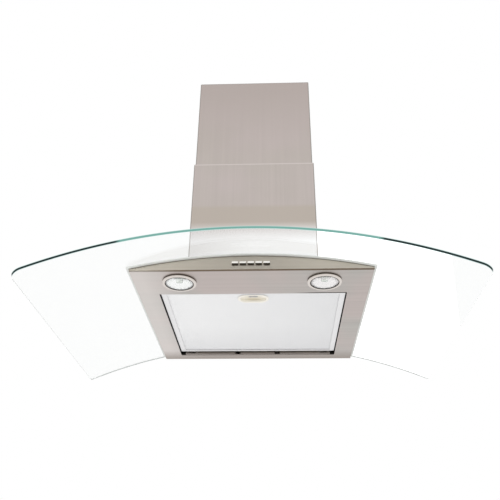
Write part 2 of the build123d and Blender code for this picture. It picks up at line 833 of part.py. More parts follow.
# Latch: a tongue over the front lip, with a tab for the finger
with BuildPart() as filter_latch:
    tongue_front = opening_front - pan_sheet - tongue_reach
    tongue_rear = cup_y - finger_tab_setback
    with Locations((0, tongue_rear, tongue_low)):
        Box(
            tongue_width,
            tongue_rear - tongue_front,
            tongue_thickness,
            align=(Align.CENTER, Align.MAX, Align.MIN),
        )
    with Locations((0, tongue_rear, tongue_low + tongue_thickness)):
        Box(
            tongue_width,
            finger_tab_sheet,
            tongue_thickness + finger_tab_drop,
            align=(Align.CENTER, Align.MAX, Align.MAX),
        )
save(filter_latch, "filter_latch")

# Bowed leaf springs on the rear lip, just behind the filter's rolled edge
with BuildPart() as filter_leaf_springs:
    bow = filter_rear_gap - leaf_clearance
    half = leaf_length / 2
    inner_half = half - 2 * leaf_sheet
    for name, sx in sides:
        leaf_x = filter_width / 2 - leaf_inset
        with BuildSketch(Plane((sx * leaf_x, opening_rear, filter_axis_z - leaf_height / 2))):
            with BuildLine():
                ThreePointArc((-half, 0), (0, -bow), (half, 0))
                Line((half, 0), (inner_half, 0))
                ThreePointArc((-inner_half, 0), (0, leaf_sheet - bow), (inner_half, 0))
                Line((-inner_half, 0), (-half, 0))
            make_face()
        extrude(amount=leaf_height)
save(filter_leaf_springs, "filter_leaf_springs")

# Lamps: can, reflector, capsule bulb, lens and trim ring, all turned about the lamp's own axis
reflector_top = lamp_can_height - lamp_wall - lamp_clearance
reflector_rim = lamp_can_radius - lamp_wall - lamp_clearance
for name, sx in sides:
    axis = Axis((sx * lamp_spacing / 2, lamp_y, base_z), (0, 0, 1))
    section = Plane(origin=(sx * lamp_spacing / 2, lamp_y, base_z), x_dir=(1, 0, 0), z_dir=(0, -1, 0))
    with BuildPart() as lamp_can:
        with BuildSketch(section):
            with BuildLine():
                Polyline(
                    (0, lamp_can_height),
                    (lamp_can_radius, lamp_can_height),
                    (lamp_can_radius, 0),
                    (lamp_can_radius + lamp_flange, 0),
                    (lamp_can_radius + lamp_flange, -lamp_flange_sheet),
                    (lamp_can_radius - lamp_wall, -lamp_flange_sheet),
                    (lamp_can_radius - lamp_wall, lamp_can_height - lamp_wall),
                    (0, lamp_can_height - lamp_wall),
                    close=True,
                )
            make_face()
        revolve(axis=axis)
    save(lamp_can, f"lamp_can_{name}")

    with BuildPart() as lamp_reflector:
        with BuildSketch(section):
            with BuildLine():
                Polyline(
                    (0, reflector_top),
                    (reflector_floor_radius, reflector_top),
                    (reflector_rim, 0),
                    (reflector_rim - reflector_sheet, 0),
                    (reflector_floor_radius - reflector_sheet, reflector_top - reflector_sheet),
                    (0, reflector_top - reflector_sheet),
                    close=True,
                )
            make_face()
        revolve(axis=axis)
    save(lamp_reflector, f"lamp_reflector_{name}")

    with BuildPart() as lamp_bulb:
        bulb_top = base_z + reflector_top - reflector_sheet
        with Locations((sx * lamp_spacing / 2, lamp_y, bulb_top - bulb_base_height - bulb_radius)):
            Cylinder(bulb_radius, bulb_length, rotation=(0, 90, 0))
        fillet(lamp_bulb.edges().filter_by(GeomType.CIRCLE), bulb_radius / 2)
        with Locations((sx * lamp_spacing / 2, lamp_y, bulb_top)):
            Box(bulb_base, bulb_base, bulb_base_height + bulb_radius, align=downward)
    save(lamp_bulb, f"lamp_bulb_{name}")

    with BuildPart() as lamp_lens:
        lens_low = lens_fit - lens_seat
        dome_edge = lens_window_radius - lamp_clearance
        dome_radius = (dome_edge**2 + lens_crown**2) / (2 * lens_crown)
        dome_angle = math.degrees(math.asin(dome_edge / dome_radius))
        with BuildSketch(section):
            with BuildLine():
                Polyline(
                    (0, lens_low - lens_crown),
                    (0, lens_low + lens_thickness),
                    (lens_radius, lens_low + lens_thickness),
                    (lens_radius, lens_low),
                    (dome_edge, lens_low),
                )
                CenterArc((0, lens_low - lens_crown + dome_radius), dome_radius, 270, dome_angle)
            make_face()
        revolve(axis=axis)
    save(lamp_lens, f"lamp_lens_{name}")

    with BuildPart() as lamp_ring:
        flange_hole = lamp_can_radius + lamp_flange + lamp_clearance
        lens_hole = lens_radius + lamp_clearance
        flange_seat = -lamp_flange_sheet - lamp_clearance
        with BuildSketch(section):
            with BuildLine():
                Polyline(
                    (ring_radius, ring_round - ring_drop),
                    (ring_radius, 0),
                    (flange_hole, 0),
                    (flange_hole, flange_seat),
                    (lens_hole, flange_seat),
                    (lens_hole, -lens_seat),
                    (lens_window_radius, -lens_seat),
                    (lens_window_radius, -ring_drop),
                    (ring_radius - ring_round, -ring_drop),
                )
                CenterArc((ring_radius - ring_round, ring_round - ring_drop), ring_round, 270, 90)
            make_face()
        revolve(axis=axis)
    save(lamp_ring, f"lamp_ring_{name}")

# Blower scroll in two halves that meet on the middle of the impeller
for name, start, stop in (("front", -scroll_half_width, 0), ("rear", 0, scroll_half_width)):
    with BuildPart() as scroll_half:
        outlet_top = box_top_z - box_sheet
        add(scroll_prism(0, outlet_top, start, stop))
        inner_start = start + scroll_sheet if start < 0 else start
        inner_stop = stop - scroll_sheet if stop > 0 else stop
        inside = scroll_prism(scroll_sheet, outlet_top + scroll_sheet, inner_start, inner_stop)
        add(inside, mode=Mode.SUBTRACT)
        with Locations(blower_plane):
            Cylinder(inlet_radius, 4 * scroll_half_width, mode=Mode.SUBTRACT)
    save(scroll_half, f"scroll_{name}")

# Double-inlet impeller: forward-curved blades between two rings, on a middle disc and hub
with BuildPart(blower_plane) as impeller:
    Cylinder(impeller_radius, impeller_disc)
    Cylinder(hub_radius, hub_length)
    with PolarLocations(impeller_radius - blade_depth / 2, blade_count):
        Box(blade_depth, blade_sheet, impeller_width, rotation=(0, 0, blade_angle))
    with BuildSketch(
        blower_plane.offset(-impeller_width / 2), blower_plane.offset(impeller_width / 2 - impeller_ring)
    ):
        Circle(impeller_radius)
        Circle(impeller_radius - blade_depth, mode=Mode.SUBTRACT)
    extrude(amount=impeller_ring)
    Cylinder(shaft_radius + hub_fit, hub_length, mode=Mode.SUBTRACT)
save(impeller, "impeller")

with BuildPart(blower_plane) as motor_shaft:
    shaft_start = -hub_length / 2 - shaft_tail
    with Locations((0, 0, shaft_start)):
        Cylinder(shaft_radius, motor_end - shaft_start, align=upward)
save(motor_shaft, "motor_shaft")

with BuildPart(blower_plane) as motor:
    with Locations((0, 0, motor_start)):
        Cylinder(motor_radius, motor_end - motor_start, align=upward)
    fillet(motor.edges().group_by(Axis.Y)[0], motor_round)
    Cylinder(shaft_radius + shaft_fit, 4 * motor_end, mode=Mode.SUBTRACT)
save(motor, "motor")

# Spider that carries the motor in the rear inlet, with its feet on the scroll's side
with BuildPart(blower_plane) as motor_spider:
    arm_end = inlet_radius + spider_overlap
    with Locations((0, 0, motor_end)):
        Cylinder(motor_radius, spider_sheet, align=upward)
        with PolarLocations(arm_end / 2, spider_arms):
            Box(arm_end, spider_arm, spider_sheet, align=upward)
    with Locations((0, 0, scroll_half_width)):
        with PolarLocations(arm_end - spider_foot / 2, spider_arms):
            Box(spider_foot, spider_arm, spider_standoff, align=upward)
    Cylinder(spider_bore, 4 * motor_end, mode=Mode.SUBTRACT)
save(motor_spider, "motor_spider")

# Outlet collar on the lid of the blower box, with a ledge that stops the flaps
with BuildPart() as outlet_collar:
    with BuildSketch(Plane.XY.offset(box_top_z)):
        Circle(collar_radius + collar_flange)
    extrude(amount=collar_flange_sheet)
    with BuildSketch(Plane.XY.offset(box_top_z)):
        Circle(collar_radius)
    extrude(amount=collar_height)
    with BuildSketch(Plane.XY.offset(box_top_z)):
        Circle(collar_bore)
    extrude(amount=collar_height, mode=Mode.SUBTRACT)
    with BuildSketch(Plane.XY.offset(flap_z - flap_sheet / 2 - flap_seat_gap)):
        Circle(collar_radius)
        Circle(collar_bore - ledge_width, mode=Mode.SUBTRACT)
    extrude(amount=-ledge_height)
    with Locations((0, 0, flap_z)):
        Cylinder(hinge_hole, 4 * collar_radius, rotation=(90, 0, 0), mode=Mode.SUBTRACT)
    with Locations((0, 0, box_top_z)):
        with PolarLocations(collar_radius + collar_flange / 2, collar_screw_count):
            Cylinder(small_hole, 4 * collar_flange_sheet, mode=Mode.SUBTRACT)
save(outlet_collar, "outlet_collar")

with BuildPart() as collar_screws:
    with Locations((0, 0, box_top_z + collar_flange_sheet)):
        with PolarLocations(collar_radius + collar_flange / 2, collar_screw_count):
            Cylinder(small_head_radius, small_head, align=upward)
            Cylinder(small_radius, collar_flange_sheet, align=downward)
save(collar_screws, "collar_screws")

with BuildPart() as flap_pin:
    with Locations((0, 0, flap_z)):
        Cylinder(hinge_pin_radius, 2 * (collar_radius - hinge_pin_short), rotation=(90, 0, 0))
save(flap_pin, "flap_pin")

# Two half-round flaps that share the pin: one has the middle knuckle, the other the outer two
outer_knuckle = knuckle_end - knuckle_split - knuckle_gap
outer_middle = (knuckle_end + knuckle_split + knuckle_gap) / 2
hinge_edge = knuckle_radius + flap_hinge_gap
knuckles = {
    "left": ((-outer_middle, outer_knuckle), (outer_middle, outer_knuckle)),
    "right": ((0, 2 * knuckle_split),),
}
for name, sx in sides:
    with BuildPart() as flap:
        with BuildSketch(Plane.XY.offset(flap_z - flap_sheet / 2)):
            Circle(flap_radius)
            with Locations((sx * (hinge_edge + flap_radius), 0)):
                Rectangle(2 * flap_radius, 2 * flap_radius, mode=Mode.INTERSECT)
        extrude(amount=flap_sheet)
        for middle, length in knuckles[name]:
            with Locations((0, middle, flap_z)):
                Cylinder(knuckle_radius, length, rotation=(90, 0, 0))
            with Locations((sx * hinge_edge / 2, middle, flap_z)):
                Box(hinge_edge + flap_sheet, length, flap_sheet)
        with Locations((0, 0, flap_z)):
            Cylinder(hinge_hole, 4 * collar_radius, rotation=(90, 0, 0), mode=Mode.SUBTRACT)
    save(flap, f"flap_{name}")

# Electrical pieces on the right-hand wall of the blower box
save(case_on_wall(terminal_size, terminal_drop), "terminal_box")
save(case_on_wall(transformer_size, transformer_drop), "lamp_transformer")

with BuildPart() as capacitor:
    wall_x = box_inside / 2
    with Locations((wall_x - capacitor_foot - capacitor_radius, 0, box_top_z - capacitor_drop)):
        Cylinder(capacitor_radius, capacitor_length, rotation=(90, 0, 0))
    with Locations((wall_x, 0, box_top_z - capacitor_drop)):
        Box(
            capacitor_foot + capacitor_radius,
            capacitor_length / 2,
            capacitor_radius,
            align=(Align.MAX, Align.CENTER, Align.CENTER),
        )
save(capacitor, "capacitor")
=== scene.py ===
import json
import math

import bmesh
import bpy
from mathutils import Matrix, Vector

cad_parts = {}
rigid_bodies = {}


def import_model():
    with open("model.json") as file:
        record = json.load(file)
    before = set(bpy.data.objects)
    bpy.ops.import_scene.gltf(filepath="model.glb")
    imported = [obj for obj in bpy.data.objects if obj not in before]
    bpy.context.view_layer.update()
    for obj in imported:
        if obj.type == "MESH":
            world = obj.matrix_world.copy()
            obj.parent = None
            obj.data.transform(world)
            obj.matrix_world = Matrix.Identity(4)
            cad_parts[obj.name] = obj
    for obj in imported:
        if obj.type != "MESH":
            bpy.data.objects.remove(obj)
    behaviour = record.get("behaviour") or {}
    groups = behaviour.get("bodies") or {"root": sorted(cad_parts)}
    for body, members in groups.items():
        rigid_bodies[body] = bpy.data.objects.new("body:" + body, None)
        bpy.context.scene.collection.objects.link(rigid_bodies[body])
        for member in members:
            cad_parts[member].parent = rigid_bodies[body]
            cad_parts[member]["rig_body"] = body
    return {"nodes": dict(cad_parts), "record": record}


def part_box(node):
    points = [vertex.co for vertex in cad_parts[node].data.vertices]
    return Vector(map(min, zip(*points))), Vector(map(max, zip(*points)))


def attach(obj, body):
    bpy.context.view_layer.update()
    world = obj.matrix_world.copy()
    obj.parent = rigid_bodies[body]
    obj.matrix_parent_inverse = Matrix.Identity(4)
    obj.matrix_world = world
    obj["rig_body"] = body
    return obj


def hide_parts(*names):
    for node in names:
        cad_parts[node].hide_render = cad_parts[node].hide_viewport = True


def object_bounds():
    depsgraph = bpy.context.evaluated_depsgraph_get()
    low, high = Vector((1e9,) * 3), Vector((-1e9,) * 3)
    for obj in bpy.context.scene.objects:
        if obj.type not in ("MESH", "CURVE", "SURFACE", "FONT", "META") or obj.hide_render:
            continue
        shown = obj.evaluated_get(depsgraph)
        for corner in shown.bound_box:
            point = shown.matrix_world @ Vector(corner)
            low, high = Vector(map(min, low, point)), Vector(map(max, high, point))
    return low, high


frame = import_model()
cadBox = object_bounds()
nodes = frame["nodes"]
slotOf = {part["node"]: part["material_slot"] for part in frame["record"]["subparts"]}
print("frame loaded,", len(nodes), "nodes")


# a wired socket that can be added, multiplied and compared
class Wire:
    def __init__(self, finish, socket):
        self.finish = finish
        self.socket = socket

    def math(self, operation, a, b):
        return self.finish.node("ShaderNodeMath", {"operation": operation}, {0: a, 1: b})

    def __add__(self, other):
        return self.math("ADD", self, other)

    def __sub__(self, other):
        return self.math("SUBTRACT", self, other)

    def __rsub__(self, other):
        return self.math("SUBTRACT", other, self)

    def __mul__(self, other):
        return self.math("MULTIPLY", self, other)

    def __truediv__(self, other):
        return self.math("DIVIDE", self, other)

    def __gt__(self, other):
        return self.math("GREATER_THAN", self, other)

    def __lt__(self, other):
        return self.math("LESS_THAN", self, other)

    def __abs__(self):
        return self.math("ABSOLUTE", self, 0.0)

    __radd__ = __add__


# a node tree and the one method that adds any node to it
class Tree:
    def __init__(self, tree):
        self.tree = tree
        tree.nodes.clear()

    def node(self, kind, settings=None, inputs=None, out=0):
        made = self.tree.nodes.new(kind)
        for key, value in (settings or {}).items():
            if key == "stops":
                self.setStops(made.color_ramp, value)
            else:
                setattr(made, key, value)
        for key, value in (inputs or {}).items():
            if isinstance(value, Wire):
                self.tree.links.new(value.socket, made.inputs[key])
            else:
                made.inputs[key].default_value = value
        return Wire(self, made.outputs[out]) if len(made.outputs) else None

    def setStops(self, ramp, stops):
        while len(ramp.elements) < len(stops):
            ramp.elements.new(1.0)
        for element, (at, grey) in zip(ramp.elements, stops):
            element.position = at
            element.color = (grey, grey, grey, 1.0)


# one material
class Finish(Tree):
    def __init__(self, name):
        self.material = bpy.data.materials.new(name)
        self.material.use_nodes = True
        super().__init__(self.material.node_tree)

    def place(self):
        return self.node("ShaderNodeTexCoord", out="Object")

    def along(self, axis):
        return self.node("ShaderNodeSeparateXYZ", inputs={"Vector": self.place()}, out=axis)

    def facing(self, axis):
        normal = self.node("ShaderNodeTexCoord", out="Normal")
        return self.node("ShaderNodeSeparateXYZ", inputs={"Vector": normal}, out=axis)

    def noise(self, waves, detail=2.0, rough=0.5):   # waves per metre along x, y and z
        where = self.node("ShaderNodeMapping", inputs={"Vector": self.place(), "Scale": waves})
        values = {"Vector": where, "Scale": 1.0, "Detail": detail, "Roughness": rough}
        return self.node("ShaderNodeTexNoise", inputs=values)

    def ramp(self, value, *stops):
        return self.node("ShaderNodeValToRGB", {"stops": stops}, {"Fac": value})

    def mix(self, share, a, b):
        a, b = (c if isinstance(c, Wire) else (*c, 1.0) for c in (a, b))
        return self.node("ShaderNodeMix", {"data_type": "RGBA"}, {0: share, 6: a, 7: b}, out=2)

    def times(self, colour, by):
        by = by if isinstance(by, Wire) else (*by, 1.0)
        settings = {"data_type": "RGBA", "blend_type": "MULTIPLY"}
        return self.node("ShaderNodeMix", settings, {0: 1.0, 6: colour, 7: by}, out=2)

    def fade(self, value, at, steep, *stops):   # a ramp with its middle at one place
        return self.ramp((value - at) * steep + 0.5, *stops)

    def bump(self, height, depth, strength=0.5):
        return self.node("ShaderNodeBump", inputs={"Height": height, "Distance": depth, "Strength": strength})

    def surface(self, colour, rough, **more):
        sockets = {"metallic": "Metallic", "normal": "Normal", "ior": "IOR", "through": "Transmission Weight",
                   "gloss": "Specular IOR Level"}
        colour = colour if isinstance(colour, Wire) else (*colour, 1.0)
        inputs = {"Base Color": colour, "Roughness": rough}
        inputs.update({sockets[key]: value for key, value in more.items()})
        return self.show(self.node("ShaderNodeBsdfPrincipled", inputs=inputs))

    def show(self, shader):
        self.node("ShaderNodeOutputMaterial", inputs={"Surface": shader})
        return self.material


def scaled(colour, by):
    return tuple(min(1.0, c * by) for c in colour)


def within(value, low, wide):
    return (value > low) * (value < low + wide)


brushing = {"fine": (5.0, 700.0), "streak": (1.6, 130.0), "drift": 6.0, "uneven": 0.2, "depth": 0.0001}


# brushed steel: few waves a metre along the grain, many across it, and a slow drift between two tints
class BrushedSteel(Finish):
    def __init__(self, name, look, grainAlong):
        super().__init__(name)
        fine, streak = ([along if axis == grainAlong else across for axis in "xyz"]
                        for along, across in (brushing["fine"], brushing["streak"]))
        self.fine = self.noise(fine, detail=3.0, rough=0.65)
        drift = self.noise([brushing["drift"]] * 3)
        grain = self.ramp(self.fine * 0.5 + self.noise(streak) * 0.5, (0.32, 0.0), (0.68, 1.0))
        tinted = self.mix(self.ramp(drift, (0.4, 0.0), (0.62, 1.0)), look["tint"], look["blush"])
        self.colour = self.mix(grain, self.times(tinted, [look["streaks"]] * 3), tinted)
        self.rough = look["rough"] + (self.fine - 0.5) * brushing["uneven"]

    def done(self):
        normal = self.bump(self.fine, brushing["depth"])
        return self.surface(self.colour, self.rough, metallic=1.0, normal=normal)


# the band and the sheen tones are painted reflections of the glass; top and corner are painted shade
chimneyLook = {"tint": (0.57, 0.505, 0.485), "blush": (0.535, 0.485, 0.45), "rough": 0.36, "streaks": 0.92,
               "band": (0.50, 0.445, 0.39), "bandTop": -0.395, "bandFoot": -0.45, "top": (0.475, 0.415, 0.39),
               "sheenLeft": (0.82, 0.81, 0.81), "sheenRight": (1.0, 1.0, 1.0),
               "sheenTop": -0.437, "sheenFoot": -0.486, "sheenGloss": 0.2, "frontFacing": -0.7,
               "corner": (0.27, 0.25, 0.23), "rim": -0.0015, "rimShare": 0.7,
               "seam": -0.2705, "seamWide": 0.0015, "seamTone": (0.70, 0.64, 0.62), "seamShare": 0.6}
# the rear, fold, brim, gap and slit tones are painted shade
bodyLook = {"tint": (0.59, 0.52, 0.495), "blush": (0.53, 0.51, 0.48), "rough": 0.36, "streaks": 0.86,
            "fold": (0.19, 0.145, 0.105), "foldY": -0.2478, "rear": (0.325, 0.275, 0.24), "rearY": 0.222,
            "left": (0.85, 0.795, 0.765), "leftX": -0.19,
            "gap": (0.03, 0.027, 0.024), "gapX": 0.2016, "gapWide": 0.0024, "face": -0.6192,
            "lip": (0.60, 0.54, 0.46), "lipY": 0.2195, "lipDeep": 0.0025, "lipZ": -0.6155,
            "brim": (0.185, 0.157, 0.135), "brimY": 0.2212, "brimDeep": 0.0045,
            "cornerX": 0.191, "cornerWide": 0.0106, "cornerDeep": 0.0029,
            "slit": (0.03, 0.026, 0.022), "slitY": -0.1480, "slitDeep": 0.010, "slitX": 0.11}
# fold and rim are painted shadow, along the fold and under the seal
panelLook = {"tint": (0.535, 0.49, 0.42), "blush": (0.51, 0.475, 0.41), "rough": 0.33, "streaks": 0.88,
             "fold": (0.19, 0.145, 0.105), "foldZ": -0.6183, "foldFade": -0.19,
             "middle": (0.36, 0.33, 0.285), "right": (0.70, 0.64, 0.55), "rightX": 0.09,
             "rim": (0.20, 0.19, 0.165), "archRadius": 1.1182, "archMiddle": -1.705378, "rimWide": 0.0011}


# painted shade on the rounded corners, by the way they face
def cornerShadeOf(f):
    return f.ramp(abs(f.facing("X") * f.facing("Y")), (0.08, 0.0), (0.35, 0.8))


def upperSteel():   # painted shade darker towards the ceiling and on the corners, and darker at its rim
    f = BrushedSteel("upper chimney steel", chimneyLook, "z")
    z = f.along("Z")
    # painted shade, darker towards the ceiling
    f.colour = f.mix(f.ramp(z + 1.0, (0.72, 0.0), (0.97, 1.0)), f.colour, chimneyLook["top"])
    f.colour = f.mix(cornerShadeOf(f), f.colour, chimneyLook["corner"])
    f.colour = f.mix((z > chimneyLook["rim"]) * chimneyLook["rimShare"], f.colour, chimneyLook["corner"])
    return f.done()


def lowerSteel():   # on the front a darker band and a bright sheen off the glass under it, both painted reflection, and a pale upper edge
    f = BrushedSteel("lower chimney steel", chimneyLook, "z")
    z, front = f.along("Z"), f.facing("Y") < chimneyLook["frontFacing"]
    top, foot = chimneyLook["bandTop"], chimneyLook["bandFoot"]
    # painted reflection of the glass: the darker band, then the bright sheen under it
    band = f.ramp(abs((z - (top + foot) / 2) / (top - foot)), (0.45, 0.85), (0.62, 0.0)) * front
    depth = chimneyLook["sheenTop"] - chimneyLook["sheenFoot"]
    sheen = f.ramp((chimneyLook["sheenTop"] - z) / depth, (0.0, 0.0), (1.0, 1.0)) * front
    across = f.fade(f.along("X"), 0.0, 3.4, (0.02, 0.0), (0.5, 1.0))
    white = f.mix(across, chimneyLook["sheenLeft"], chimneyLook["sheenRight"])
    seam = (abs(z - chimneyLook["seam"]) < chimneyLook["seamWide"]) * front
    f.colour = f.mix(sheen, f.mix(band, f.colour, chimneyLook["band"]), white)
    f.colour = f.mix(cornerShadeOf(f), f.colour, chimneyLook["corner"])
    f.colour = f.mix(seam * chimneyLook["seamShare"], f.colour, chimneyLook["seamTone"])
    f.rough = f.rough - sheen * chimneyLook["sheenGloss"]
    return f.done()


def panSteel():   # painted shade darker towards the rear, at the fold and in the gaps round the filter, paler to the left
    f = BrushedSteel("body steel", bodyLook, "x")
    across, y, z = (f.along(axis) for axis in "XYZ")
    x = abs(across)
    left = f.fade(across, bodyLook["leftX"], -8.0, (0.1, 0.0), (0.8, 0.6))
    # painted shade towards the rear, at the fold, in the gaps round the filter and its corners, behind its
    # rear edge and along the right of its front edge
    rear = f.fade(y, bodyLook["rearY"], 10.0, (0.2, 0.0), (0.7, 0.8))
    fold = (y < bodyLook["foldY"]) * (1.0 - left)
    inside = x < bodyLook["gapX"]
    gap = within(x, bodyLook["gapX"], bodyLook["gapWide"]) * (z > bodyLook["face"])
    lip = within(y, bodyLook["lipY"], bodyLook["lipDeep"]) * (z > bodyLook["lipZ"])
    brim = within(y, bodyLook["brimY"], bodyLook["brimDeep"]) * (z < bodyLook["lipZ"]) * inside
    corner = within(x, bodyLook["cornerX"], bodyLook["cornerWide"])
    corner = corner * within(y, bodyLook["lipY"], bodyLook["cornerDeep"])
    slit = f.fade(across, bodyLook["slitX"], 12.0, (0.2, 0.0), (0.8, 1.0)) * inside
    slit = slit * within(y, bodyLook["slitY"], bodyLook["slitDeep"])
    layers = ((left, "left"), (rear, "rear"), (fold, "fold"), (lip, "lip"), (brim, "brim"), (gap, "gap"),
              (corner, "gap"), (slit, "slit"))
    for share, tone in layers:
        f.colour = f.mix(share, f.colour, bodyLook[tone])
    return f.done()


def topSteel():
    return BrushedSteel("top steel", bodyLook, "x").done()


def panelSteel():   # painted shadow along its fold and under the seal, darker in the middle, paler to the right
    f = BrushedSteel("panel steel", panelLook, "x")
    x, z = f.along("X"), f.along("Z")
    fold = f.fade(x, panelLook["foldFade"], 8.0, (0.05, 0.25), (0.9, 1.0)) * (z < panelLook["foldZ"])
    middle = f.ramp(abs(x) * 6.0, (0.3, 0.3), (0.9, 0.0))
    right = f.fade(x, panelLook["rightX"], 8.0, (0.1, 0.0), (0.9, 0.32))
    # painted shadow in a thin band under the seal, along the arch's top edge
    rise = z - panelLook["archMiddle"]
    edge = panelLook["archRadius"] - panelLook["rimWide"]
    rim = (x * x + rise * rise) > edge * edge
    for share, tone in ((middle, "middle"), (right, "right"), (fold, "fold"), (rim, "rim")):
        f.colour = f.mix(share, f.colour, panelLook[tone])
    return f.done()


def zincPlate():
    f = Finish("zinc plate")
    cells = f.node("ShaderNodeTexVoronoi", inputs={"Vector": f.place(), "Scale": 95.0}, out="Color")
    spangle = f.node("ShaderNodeRGBToBW", inputs={"Color": cells})
    haze = f.noise((30.0, 30.0, 30.0), detail=4.0)
    colour = f.mix(spangle * 0.6 + haze * 0.4, (0.38, 0.39, 0.41), (0.60, 0.61, 0.62))
    return f.surface(colour, 0.34 + spangle * 0.2, metallic=0.9, normal=f.bump(haze, 0.0001))


def brightMetal(name, colour, rough):
    f = Finish(name)
    scuff = f.noise((60.0, 60.0, 60.0), detail=5.0, rough=0.7)
    tone = f.mix(scuff, scaled(colour, 0.9), scaled(colour, 1.05))
    return f.surface(tone, rough + scuff * 0.08, metallic=1.0, normal=f.bump(scuff, 0.00003))


def moulded(name, colour, rough, pores=900.0, depth=0.00006):
    f = Finish(name)
    grain = f.noise((pores, pores, pores))
    wear = f.noise((18.0, 18.0, 18.0), detail=4.0)
    tone = f.mix(wear, scaled(colour, 0.86), scaled(colour, 1.1))
    return f.surface(tone, rough + (wear - 0.5) * 0.15, normal=f.bump(grain, depth))


# the recess tones are painted shade, darkest in the middle of the finger recess
cupLook = {"cream": (0.92, 0.88, 0.80), "pale": (0.97, 0.94, 0.87), "hollow": (0.74, 0.68, 0.55),
           "hollowEnds": (0.95, 0.91, 0.82), "face": -0.6150, "depth": 0.0058}


def cupPlastic():   # cream, with painted shade up inside the finger recess
    f = Finish("cream plastic")
    wear = f.noise((40.0, 40.0, 40.0), detail=4.0)
    tone = f.mix(wear, cupLook["cream"], cupLook["pale"])
    deep = f.ramp((f.along("Z") - cupLook["face"]) / cupLook["depth"], (0.3, 0.0), (0.95, 1.0))
    ends = f.ramp(abs(f.along("X")) * 30.0, (0.2, 0.0), (0.8, 1.0))
    colour = f.mix(deep, tone, f.mix(ends, cupLook["hollow"], cupLook["hollowEnds"]))
    pores = f.noise((900.0, 900.0, 900.0))
    return f.surface(colour, 0.38 + wear * 0.1, normal=f.bump(pores, 0.00005))


buttonLook = {"bright": (0.97, 0.95, 0.90), "dark": (0.06, 0.048, 0.036), "middle": -0.6058, "height": 0.0064}


def buttonChrome():   # painted reflection: bright above, dark below where it mirrors its own recess
    f = Finish("button chrome")
    scuff = f.noise((80.0, 80.0, 80.0), detail=4.0)
    tone = f.mix(scuff, scaled(buttonLook["bright"], 0.95), buttonLook["bright"])
    height = (f.along("Z") - buttonLook["middle"]) / buttonLook["height"]
    share = f.ramp(height + 0.5, (0.38, 1.0), (0.54, 0.0))
    colour = f.mix(share, tone, buttonLook["dark"])
    return f.surface(colour, 0.1 + scuff * 0.06, metallic=1.0, normal=f.bump(scuff, 0.00002))


def clearGlass(name, tint, through):   # what does not go through is a pale film on the glass
    f = Finish(name)
    film = f.noise((9.0, 14.0, 9.0), detail=4.0)
    colour = f.mix(film, scaled(tint, 0.99), tint)
    return f.surface(colour, 0.002 + film * 0.01, through=through, ior=1.5)


# deep is a painted dark reflection at the free ends of the edge
glassRim = {"pale": (0.17, 0.375, 0.33), "deep": (0.006, 0.011, 0.013), "turnX": 0.249, "frontY": -0.338,
            "rear": (0.46, 0.52, 0.49), "side": (0.84, 0.88, 0.86), "sideX": 0.425,
            "arris": (0.52, 0.72, 0.69), "archMiddle": -1.705378, "middle": 1.124, "line": 0.0025}


def rimGlass():   # the polished edge: pale over the body, deep where it hangs free, the deep tone a painted reflection
    f = Finish("glass rim")
    x, y, rise = abs(f.along("X")), f.along("Y"), f.along("Z") - glassRim["archMiddle"]
    ripple = f.noise((140.0, 20.0, 300.0), detail=3.0)
    out = f.node("ShaderNodeMath", {"operation": "SQRT"}, {0: x * x + rise * rise})
    edge = f.ramp(abs(out - glassRim["middle"]) / glassRim["line"], (0.75, 0.0), (1.0, 1.0))
    turn = f.fade(x, glassRim["turnX"], 40.0, (0.3, 0.0), (0.7, 1.0))
    side = f.fade(x, glassRim["sideX"], 40.0, (0.2, 0.0), (0.8, 1.0))
    ahead = f.fade(y, glassRim["frontY"], -60.0, (0.3, 0.0), (0.7, 1.0))
    front = f.mix(edge, f.mix(turn, glassRim["pale"], glassRim["deep"]), glassRim["arris"])
    tone = f.mix(ahead, f.mix(side, glassRim["rear"], glassRim["side"]), front)
    colour = f.mix(ripple * 0.06, tone, scaled(glassRim["pale"], 0.8))
    return f.surface(colour, 0.12 + ripple * 0.1, gloss=0.15)


faceShade = {"left": (1.0, 1.0, 1.0), "right": (0.90, 0.90, 0.905), "rear": (0.84, 0.84, 0.85), "halfX": 0.19,
             "frontY": -0.02, "rearY": 0.21}


def shaded(f, tone):   # duller to the right and towards the rear
    across = f.along("X") / (2.0 * faceShade["halfX"]) + 0.5
    back = (f.along("Y") - faceShade["frontY"]) / (faceShade["rearY"] - faceShade["frontY"])
    shade = f.mix(f.ramp(across, (0.1, 0.0), (0.95, 1.0)), faceShade["left"], faceShade["right"])
    shade = f.mix(f.ramp(back, (0.3, 0.0), (1.0, 0.7)), shade, faceShade["rear"])
    return f.times(tone, shade)


def faceAluminium():
    f = Finish("face aluminium")
    scuff = f.noise((60.0, 60.0, 60.0), detail=5.0, rough=0.7)
    tone = f.mix(scuff, (0.96, 0.96, 0.96), (1.0, 1.0, 1.0))
    return f.surface(shaded(f, tone), 0.28 + scuff * 0.08, metallic=0.35)


def padMesh():   # crimped layers behind the face
    f = Finish("filter pad")
    waves = [f.node("ShaderNodeTexWave", {"wave_type": "BANDS", "bands_direction": way},
                    {"Vector": f.place(), "Scale": 90.0, "Distortion": 1.5, "Detail": 2.0}, out="Fac")
             for way in "XY"]
    weave = waves[0] * waves[1]
    tone = f.mix(weave, (0.93, 0.93, 0.935), (1.0, 1.0, 1.0))
    return f.surface(shaded(f, tone), 0.5, normal=f.bump(weave, 0.00005))


